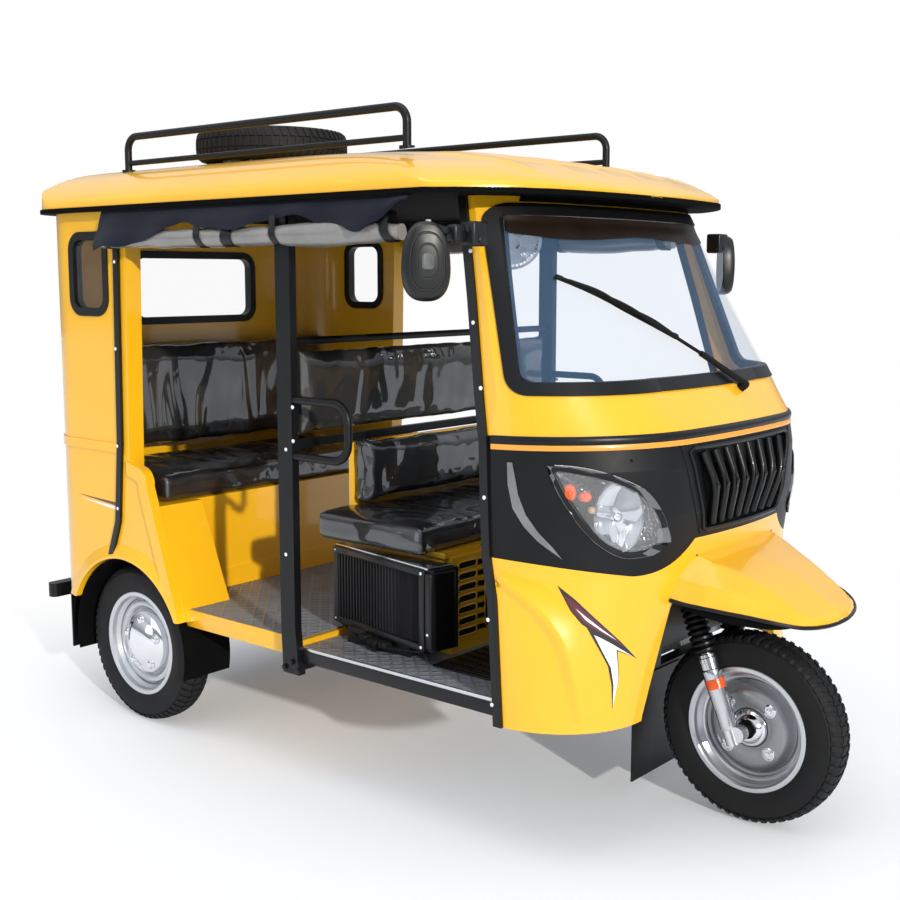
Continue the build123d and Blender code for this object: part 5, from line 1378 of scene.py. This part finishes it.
def egg(p):
    """Round piece to the mirror housing's rounded outline, narrower at its top."""
    r = math.hypot(p.x, p.y)
    if r < 1e-6:
        return Vector((0, p.z, 0))
    a = math.atan2(p.y, p.x)
    squared = (abs(math.cos(a)) ** 2.5 + abs(math.sin(a)) ** 2.5) ** (-1 / 2.5)
    across, up, _ = polar(r * squared, a)
    return Vector((across * 0.060 * (1 - 0.10 * up), p.z, up * 0.098))


def make_mirrors():
    """Moulded housing with stepped ovals on its back, the glass, stalk and bracket."""
    turn, at = Matrix.Rotation(MIRROR_YAW, 3, "Z"), axle(*MIRROR_AT)
    back = -(turn @ Vector((0, 1, 0)))

    def oval_piece(name, profile):
        obj = spun(name, profile, (0, 0, 0), "Z", 64)
        move_corners(obj, lambda p: turn @ egg(p) + at)
        outward(obj)
        move_corners(obj, lambda p: p - 2 * (p - at).dot(back) * back)
        obj.data.flip_normals()
        return obj

    body = oval_piece("right_mirror_housing", [
        (1.00, 0.000), (1.00, 0.010), (0.97, 0.022), (0.90, 0.030), (0.78, 0.033),
        (0.745, 0.0335), (0.725, 0.0315), (0.700, 0.0315), (0.680, 0.0345), (0.50, 0.0375),
        (0.46, 0.0378), (0.44, 0.0362), (0.415, 0.0362), (0.395, 0.0380), (0.20, 0.0392),
        (0.004, 0.0395), (0.004, -0.004), (0.93, -0.004), (0.96, -0.006), (1.00, -0.004)])
    glass = oval_piece("right_mirror_glass", [(0.0001, -0.0052), (0.90, -0.0052),
                                              (0.90, -0.0072), (0.0001, -0.0072)])
    badge, _ = rounded_slot("right_mirror_badge", 0.030, 0.038, 0.008, 0.0016)
    move_corners(badge, lambda p: turn @ Vector((p.y, 0, p.z)) + at + back * 0.0398)
    stalk = [pipe("stalk", [axle(1.424, -0.752, 1.600), axle(1.426, -0.750, 1.634)], 0.0085, 12),
             pipe("stalk", [axle(1.426, -0.750, 1.626), axle(1.444, -0.680, 1.612),
                            axle(1.456, -0.610, 1.607)], 0.0110, 12, 0.03),
             cube("knuckle", axle(1.436, -0.700, 1.588), axle(1.470, -0.652, 1.632), 0.008),
             cube("clamp", axle(1.444, -0.658, 1.578), axle(1.494, -0.600, 1.640), 0.007),
             dome("stalk", axle(1.4945, -0.630, 1.594), (1, 0, 0), 0.010, 0.005),
             dome("stalk", axle(1.470, -0.659, 1.620), (0, -1, 0), 0.010, 0.005)]
    for piece in both(body, moulded_black, 35):
        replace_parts(piece, "mirrors")
    both(glass, mirror_glass, 30)
    both(badge, grey_and_sheen, 30)
    both(joined("right_mirror_bracket", stalk), moulded_black, 40)
    cap = spun("right_mirror_pin", [(0.0001, 0.012), (0.007, 0.010), (0.009, 0.002),
                                    (0.006, -0.004), (0.006, -0.030), (0.0001, -0.030)],
               axle(1.426, -0.752, 1.632), "Z", 18)
    both(cap, satin_chrome, 40)


# ------------------------------------------------------------------- fan, wiper
def ring(name, radius, thick, turn, at, steps=40):
    points = [turn @ polar(radius, 2 * math.pi * k / steps) + at for k in range(steps)]
    return pipe(name, points, thick, 6, closed=True)


WIRES = 40


def make_fan():
    """Caged fan: hoops and many wires round four blades and a motor."""
    at = axle(1.300, -0.250, 1.605)
    turn = Vector((0.6, -0.6, -0.3)).to_track_quat("Z", "Y")
    wires = []
    for radius, lift in ((0.082, 0.0), (0.082, 0.012), (0.074, 0.026), (0.050, 0.034),
                         (0.022, 0.037), (0.074, -0.016), (0.050, -0.024)):
        wires.append(ring("hoop", radius, 0.0022, turn, at + turn @ Vector((0, 0, lift))))
    for k in range(WIRES):
        a = 2 * math.pi * k / WIRES
        line = [turn @ polar(r, a, t) + at
                for r, t in ((0.018, 0.038), (0.050, 0.035), (0.074, 0.027), (0.083, 0.012),
                             (0.083, -0.004), (0.074, -0.017), (0.050, -0.025))]
        wires.append(pipe("wire", line, 0.0013, 4))
    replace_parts(wear(joined("fan_cage", wires), white_plastic, "chassis", 40), "cab_fan")
    hub = turned("fan_motor", [(0.0001, 0.020), (0.012, 0.018), (0.016, 0.004),
                               (0.026, -0.008), (0.030, -0.030), (0.024, -0.050),
                               (0.0001, -0.052)], turn, at, 28)
    blades = []
    for k in range(4):
        def blade(u, v, k=k):
            a = math.pi / 2 * k + (v - 0.5) * (0.9 + 0.5 * u)
            r = 0.014 + 0.056 * u
            return turn @ polar(r, a, 0.004 + 0.016 * (v - 0.5)) + at
        blades.append(laid("blade", (6, 5), blade, 0.0014))
    stem = pipe("fan_stem", [turn @ Vector((0, 0, -0.03)) + at, axle(1.280, -0.232, 1.640),
                             axle(1.280, -0.230, 1.712)], 0.008, 10, 0.02)
    wear(joined("fan_blades", blades + [hub, stem]), white_plastic, "chassis", 50)


HEADER_HALF, HEADER_TOP, GLASS_TOP = 0.545, 1.660, 1.645


def make_screen_header():
    """Dark band on the top of the windscreen, its lower edge gently waved: painted shade and
    reflection standing in for the shaded header seen through the glass.
    """
    tree = skin("windscreen")

    def header(u, v):
        y = -HEADER_HALF + 2 * HEADER_HALF * u
        low = 1.603 + 0.008 * math.cos(y * 9) + 0.012 * (abs(y) / 0.47) ** 3
        z = HEADER_TOP + (low - HEADER_TOP) * v
        past = z - min(z, GLASS_TOP)
        place = None
        while place is None:
            place, _, _, _ = tree.ray_cast(axle(AHEAD, y, z - past), Vector((-1, 0, 0)))
            y *= 0.985
        return place + Vector((0.0015 - past * 0.33, 0, past + 0.0005))

    # the band's dark colour is painted shade of the header behind the glass
    wear(laid("screen_header", (60, 8), header, 0.0010), header_shade_band, "chassis", 50)


def make_wiper():
    """Sprung blade with its bridge and clips, the arm and its pivot cap."""
    tree = skin("windscreen", "cab_cowl", "windscreen_seal")

    def glass(y, z, out):
        place, normal = onto(tree, axle(AHEAD, y, z), (-1, 0, 0))
        return place + normal * out

    tip, heel = Vector((-0.436, 1.500)), Vector((-0.090, 1.335))
    along = [tip.lerp(heel, k / 10) for k in range(11)]
    rubber = pipe("blade", [glass(y, z, 0.0035) for y, z in along], 0.0042, 8)
    spine = pipe("spine", [glass(y, z, 0.0095) for y, z in along], 0.0056, 8)
    bridge = [pipe("bridge", [glass(*tip.lerp(heel, t), 0.010 + rise)
                              for t, rise in ((a, 0.0), ((a + b) / 2, 0.010), (b, 0.0))],
                   0.0062, 8, 0.05) for a, b in ((0.08, 0.47), (0.50, 0.93), (0.25, 0.76))]
    clips = []
    for t in (0.02, 0.25, 0.49, 0.76, 0.97):
        at = glass(*tip.lerp(heel, t), 0.0095)
        clip = cube("clip", (-0.009, -0.0065, -0.006), (0.009, 0.0065, 0.006), 0.0022, 2)
        run = (glass(*tip.lerp(heel, min(1.0, t + 0.03)), 0.0095)
               - glass(*tip.lerp(heel, max(0.0, t - 0.03)), 0.0095)).normalized()
        spin_to = run.to_track_quat("X", "Z")
        move_corners(clip, lambda p: spin_to @ p + at)
        clips.append(clip)
    joint = glass(*tip.lerp(heel, 0.53), 0.020)
    elbow = glass(-0.035, 1.285, 0.020)
    pivot = glass(0.118, 1.195, 0.018)
    arm = [pipe("arm", [joint, elbow], 0.0050, 8), pipe("arm", [elbow, pivot], 0.0085, 10)]
    place, normal = onto(tree, axle(AHEAD, 0.118, 1.193), (-1, 0, 0))
    cap = turned("cap", [(0.0001, 0.016), (0.010, 0.014), (0.0135, 0.006), (0.0135, -0.012),
                         (0.0001, -0.012)], normal.to_track_quat("Z", "Y"),
                 place + normal * 0.012, 24)
    whole = joined("wiper_arm_and_blade", [rubber, spine, cap] + bridge + clips + arm)
    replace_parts(wear(whole, inner_black, "chassis", 40), "wiper")


# --------------------------------------------------------------- nose and fork
# Half sections of the mudguard: x, then (y, z) of its edge, lower fold, crest and middle
GUARD_ROWS = [
    (1.868, (0.310, 0.672), (0.284, 0.724), (0.226, 0.786), (0.0, 0.792)),
    (1.900, (0.300, 0.664), (0.274, 0.718), (0.214, 0.774), (0.0, 0.782)),
    (1.950, (0.287, 0.659), (0.262, 0.713), (0.200, 0.754), (0.0, 0.762)),
    (2.012, (0.262, 0.650), (0.236, 0.700), (0.170, 0.730), (0.0, 0.738)),
    (2.050, (0.245, 0.645), (0.218, 0.684), (0.158, 0.712), (0.0, 0.720)),
    (2.107, (0.222, 0.636), (0.184, 0.654), (0.154, 0.677), (0.0, 0.690)),
    (2.145, (0.192, 0.626), (0.168, 0.638), (0.148, 0.652), (0.0, 0.668)),
    (2.168, (0.164, 0.619), (0.152, 0.629), (0.132, 0.640), (0.0, 0.655)),
    (2.187, (0.122, 0.614), (0.114, 0.623), (0.100, 0.631), (0.0, 0.641)),
    (2.199, (0.074, 0.611), (0.069, 0.617), (0.062, 0.621), (0.0, 0.628)),
    (2.205, (0.030, 0.610), (0.028, 0.612), (0.025, 0.614), (0.0, 0.617))]


def guard_point(u, v):
    """Place on the mudguard's skin: u runs forward, v from the right edge to the left."""
    i, t = segment(u * (len(GUARD_ROWS) - 1), len(GUARD_ROWS))
    near, far = GUARD_ROWS[i], GUARD_ROWS[i + 1]
    x = near[0] + (far[0] - near[0]) * t
    half = [Vector(a).lerp(Vector(b), t) for a, b in zip(near[1:], far[1:])]
    side = -1 if v < 0.5 else 1
    w = (v if v < 0.5 else 1 - v) * 6
    k = min(int(w), 2)
    f = w - k
    p = half[k].lerp(half[k + 1], f)
    for corner, a, b, c in ((1, half[0], half[1], half[2]), (2, half[1], half[2], half[3])):
        near_by = 1 - abs(w - corner) / 0.16
        if near_by > 0:
            p = p.lerp((a + c) / 2 * 0.04 + b * 0.96, near_by * 0.5)
    return axle(x, side * p.x, p.y)


def make_guard():
    """Pressed mudguard of three planes a side, its rubber edging and screws."""
    shell = laid("mudguard_shell", (60, 60), guard_point, 0.0)
    modify(shell, "SOLIDIFY", thickness=0.005, offset=-1.0)
    outward(shell)
    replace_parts(wear(shell, yellow_enamel, "chassis", 24), "front_mudguard")
    line = [axle(row[0] + 0.001, -row[1][0], row[1][1] - 0.001) for row in GUARD_ROWS]
    line += [axle(row[0] + 0.001, row[1][0], row[1][1] - 0.001) for row in reversed(GUARD_ROWS)]
    wear(pipe("mudguard_edging", line, 0.0055, 10, 0.02), seal_rubber, "chassis", 50)
    heads = [dome("screw", guard_point(0.07, 0.335), (0, -0.3, 1), 0.004, 0.003)]
    both(joined("right_mudguard_screws", heads), gap_black)


ROOF_BROW = [(1.618, 0.0), (1.609, 0.220), (1.580, 0.425), (1.538, 0.525), (1.482, 0.600),
             (1.430, 0.655), (1.370, 0.702), (1.250, 0.800), (1.050, 0.950)]
BROW_RISE = [(0.0, 1.7275), (0.010, 1.7400), (0.035, 1.7560), (0.090, 1.7800), (0.160, 1.8020),
             (0.300, 1.8300), (0.480, 1.8560), (0.700, 1.8760), (1.000, 1.8950), (3.0, 1.990)]
ROOF_REAR, ROOF_TIP = -0.462, 1.6176
ROOF_EDGE_Z, ROOF_CREST_Z = 1.7270, 1.8965
RIB_HALF, RIB_RISE = 0.030, 0.0065
ROOF_RIBS = (-0.43, -0.258, -0.086, 0.086, 0.258, 0.43)


def reading(table, at):
    """Straight-line reading of a table of pairs."""
    for (a, low), (b, high) in zip(table, table[1:]):
        if at <= b:
            return low + (high - low) * (at - a) / (b - a)
    return table[-1][1]


def brow_gap(x, y):
    """How far a place on the roof lies inside the roof's front edge."""
    here, best = Vector((x, abs(y), 0)), 9.0
    for a, b in zip(ROOF_BROW, ROOF_BROW[1:]):
        a, b = Vector((*a, 0)), Vector((*b, 0))
        t = clamp((here - a).dot(b - a) / (b - a).length_squared)
        best = min(best, (here - a.lerp(b, t)).length)
    return best


def make_roof():
    """Roof skin: crowned along its length, falling away all round the brow, six soft ribs."""
    tree = skin("roof_shell")
    halves = {}

    def half(x):
        if x not in halves:
            place, _, _, _ = tree.ray_cast(axle(x, -1.2, 1.7285), Vector((0, 1, 0)))
            halves[x] = -place.y if place is not None and place.y < -0.02 else 0.030
        return halves[x]

    def soft_least(a, b, k):
        h = clamp(0.5 + 0.5 * (b - a) / k)
        return a * h + b * (1 - h) - k * h * (1 - h)

    def top(u, v):
        along = 0.5 - 0.5 * math.cos(math.pi * (0.06 + 0.94 * u))
        along = (along - 0.0089) / 0.9911
        x = round(ROOF_REAR + 0.0006 + (ROOF_TIP - ROOF_REAR - 0.0006) * along, 5)
        side = math.sin(math.pi / 2 * (2 * v - 1) * 0.90) / math.sin(math.pi / 2 * 0.90)
        y = side * (half(x) - 0.0006)
        place, _, _, _ = tree.ray_cast(axle(x, y, AHEAD), Vector((0, 0, -1)))
        high = place.z if place is not None else 1.7275
        if u < 1e-6 or abs(side) > 0.9999:
            high = ROOF_EDGE_Z
        gap = brow_gap(x, y)
        z = soft_least(high, reading(BROW_RISE, gap), 0.016 if gap < 0.9 else 0.001)
        rib = 0.0
        for at in ROOF_RIBS:
            off = abs(y - at * (1.0 - 0.10 * max(0.0, x - 1.2))) / RIB_HALF
            if off < 1:
                rib = 0.5 + 0.5 * math.cos(math.pi * off)
        z += RIB_RISE * rib * ease(clamp((x - 0.98) / 0.30)) * clamp((1.540 - x) / 0.10)
        return axle(x, y, min(z, ROOF_CREST_Z))

    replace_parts(wear(laid("roof_skin", (110, 190), top, 0.0030), yellow_enamel, "chassis",
                     40), "roof_shell")


SLATS = 8


def make_grille():
    """Eight rounded, kinked slats and the rounded frame round them."""
    bars = []
    for k in range(1, SLATS + 1):
        share = k / (SLATS + 1)
        high, low = -0.276 + 0.552 * share, -0.205 + 0.410 * share
        middle = low + (high - low) * (965 - 860) / (1050 - 860)
        bars.append(pipe("slat", [axle(1.9000, high, 1.052), axle(1.9295, middle, 0.966),
                                  axle(1.9020, low, 0.858)], 0.0115, 12, 0.035))
    wear(joined("grille_slats", bars), black_enamel, "chassis", 50)
    tree = skin("nose_mask", "grille", "front_wings")
    corners = [(-0.280, 1.066), (0.280, 1.066), (0.208, 0.844), (-0.208, 0.844)]
    line = []
    for (ya, za), (yb, zb) in zip(corners, corners[1:] + corners[:1]):
        for i in range(12):
            t = 0.04 + 0.92 * i / 11
            place, normal = onto(tree, axle(AHEAD, ya + (yb - ya) * t, za + (zb - za) * t),
                                 (-1, 0, 0))
            line.append(place + normal * 0.001)
    wear(pipe("grille_frame", line + line[:1], 0.0058, 8), black_enamel, "chassis",
         50)


REAR_DART = [(-0.250, 0.764), (-0.012, 0.756), (-0.012, 0.744)]
REAR_DART_WHITE = [(-0.238, 0.752), (-0.012, 0.741), (-0.012, 0.730), (-0.090, 0.737)]


def make_rear_stripes():
    """Thin tapered stripes on the panel ahead of the rear corner."""
    tree = skin("quarter_panels", "side_panels")

    def place(u, v):
        return onto(tree, axle(u, -0.9, v), (0, 1, 0))

    for name, outline, finish in (("red", REAR_DART, decal_maroon),
                                  ("white", REAR_DART_WHITE, decal_white)):
        both(patch(f"right_rear_stripe_{name}", outline, place, 0.02, 0.0005, 0.0004), finish,
             30)


ARCH_R = 0.2965              # inside of the rear arch, about the rear axle


def make_liners():
    """Dark inner guard over the front tyre, arch liners, sill faces and the cab's top strip."""
    def under_guard(u, v):
        at = 0.10 + 0.52 * u
        edge = guard_point(at, 0.0)
        half = abs(edge.y) - 0.012
        drop = 0.030 * math.sin(math.pi * min(1.0, 0.12 + u * 0.88)) ** 0.6
        side = 2 * v - 1
        rise = 0.020 * (1 - side * side)
        return Vector((edge.x, half * side, edge.z - drop + rise))

    wear(laid("front_guard_liner", (24, 16), under_guard, 0.004), matt_black, "chassis",
         50)
    rim = []
    for side in (0.0, 1.0):
        def skirt(u, v, side=side):
            low = under_guard(u, side)
            return low + Vector((0, 0, (guard_point(0.10 + 0.52 * u, side).z - low.z) * v))
        rim.append(laid("skirt", (24, 2), skirt, 0.003))
    wear(joined("front_guard_liner_sides", rim), matt_black, "chassis", 50)

    def arch(u, v):
        angle = math.radians(-12 + 204 * u)
        return axle(ARCH_R * math.cos(angle), -0.470 - 0.188 * v,
                    TYRE_R + ARCH_R * math.sin(angle))

    both(laid("right_arch_liner", (60, 4), arch, 0.003), matt_black, 50)
    both(cube("right_sill_face", axle(0.818, -0.6365, 0.372), axle(1.570, -0.6335, 0.4078),
              0.001), black_enamel)

    def brow(u, v):
        angle = math.radians(-69 + 138 * u)
        return cab_at(angle, 1.6915 + 0.0195 * v, 0.0030)

    wear(laid("cab_top_strip", (80, 3), brow, 0.002), matt_black, "chassis", 50)


FORK_RAKE = math.radians(21.3)


def on_fork_leg(y, z):
    """Place on a fork leg's middle line at this height."""
    return axle(1.812 - (z - 0.593) * math.tan(FORK_RAKE), y, z)


def make_fork():
    """Ribbed bellows over each upper leg; chrome sleeve, collar and reflex band below."""
    turn = Vector((-math.sin(FORK_RAKE), 0, math.cos(FORK_RAKE))).to_track_quat("Z", "Y")
    ribs, length = 9, 0.150
    bellows = [(0.0215, -0.002)]
    for k in range(ribs):
        bellows += [(r, length / ribs * (k + t)) for r, t in (
            (0.0235, 0.0), (0.0330, 0.28), (0.0335, 0.5), (0.0330, 0.72), (0.0235, 0.98))]
    bellows += [(0.0215, length + 0.002)]
    sleeve = [(0.0205, 0.000), (0.0225, 0.001), (0.0240, 0.004), (0.0248, 0.012),
              (0.0248, 0.060), (0.0262, 0.066), (0.0262, 0.150), (0.0268, 0.153),
              (0.0268, 0.166), (0.0262, 0.169), (0.0205, 0.170)]
    collar = [(0.0212, -0.020), (0.0255, -0.019), (0.0255, 0.0), (0.0272, 0.001),
              (0.0272, 0.012), (0.0255, 0.014), (0.0255, 0.022), (0.0212, 0.024)]
    band = [(0.0255, 0.0), (0.0274, 0.001), (0.0274, 0.028), (0.0255, 0.029)]
    for tag, y in (("right", -0.088), ("left", 0.088)):
        boot = turned(f"{tag}_fork_bellows", bellows, turn, on_fork_leg(y, 0.478))
        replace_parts(wear(boot, seal_rubber, "steering", 35), "fork_springs")
        for name, profile, z, steps, finish, slot in (
                ("sleeve", sleeve, 0.275, 40, satin_chrome, "steel"),
                ("collar", collar, 0.452, 36, satin_chrome, "steel"),
                ("reflex_band", band, 0.382, 36, reflex_orange, None)):
            piece = turned(f"{tag}_fork_{name}", profile, turn, on_fork_leg(y, z), steps)
            wear(piece, finish, "steering", 35)


def make_handlebar():
    """Ribbed rubber grip on each end of the handlebar."""
    profile = [(0.0125, -0.058)]
    for k in range(9):
        profile += [(0.0165, -0.055 + 0.012 * k), (0.0178, -0.051 + 0.012 * k)]
    profile += [(0.0200, 0.056), (0.0200, 0.062), (0.0125, 0.062)]
    for sign, tag in ((-1, "right"), (1, "left")):
        grip = spun(f"{tag}_grip", profile, (0, 0, 0), "Y", 24)
        end = max((Vector(v.co) for v in nodes["handlebar"].data.vertices),
                  key=lambda p: sign * p.y)
        move_corners(grip, lambda p: Vector((p.x, -sign * p.y, p.z))
                     + Vector((end.x, end.y - sign * 0.062, end.z)))
        outward(grip)
        wear(grip, seal_rubber, "steering", 40)


# ----------------------------------------------------------------------- floor
def make_floor():
    """Pale floor that fades to white away from the vehicle."""
    bpy.ops.mesh.primitive_plane_add(size=60, location=(0, 0, 0))
    floor = bpy.context.active_object
    floor.name = "studio_floor"
    mat, nt, shader = new_material("studio_floor")
    nt.nodes.remove(shader)
    diffuse = add(nt, "BsdfDiffuse", {"Color": (0.93, 0.94, 0.96, 1)})
    far = add(nt, "Emission", {"Color": (1, 1, 1, 1)})
    reach = add(nt, "VectorMath", {0: object_coordinates(nt, (0.8, 1.0, 1.0))},
                operation="LENGTH")
    fade = graded(nt, reach.outputs["Value"], 0.7, 2.2, 0.12, 1.0)
    share = combine(nt, "MULTIPLY", fade, add(nt, "LightPath").outputs["Is Camera Ray"])
    blend = add(nt, "MixShader", {"Fac": share, 1: diffuse.outputs[0], 2: far.outputs[0]})
    feed(nt, nt.nodes["Material Output"], {"Surface": blend.outputs[0]})
    floor.data.materials.append(mat)


bpy.context.scene.view_settings.view_transform = "Standard"
for make in (make_camera, make_lights, make_world, dress_nodes, make_floor, make_wheels,
             make_seats, make_belt, make_mask_details, make_decals, make_wing_crease,
             make_headlights, make_screws, make_radiator, make_seat_box_vents, make_floors,
             make_curtains, make_mirrors, make_fan, make_wiper, make_screen_header, make_roof,
             make_grille, make_rear_stripes, make_guard, make_liners, make_fork,
             make_handlebar):
    make()
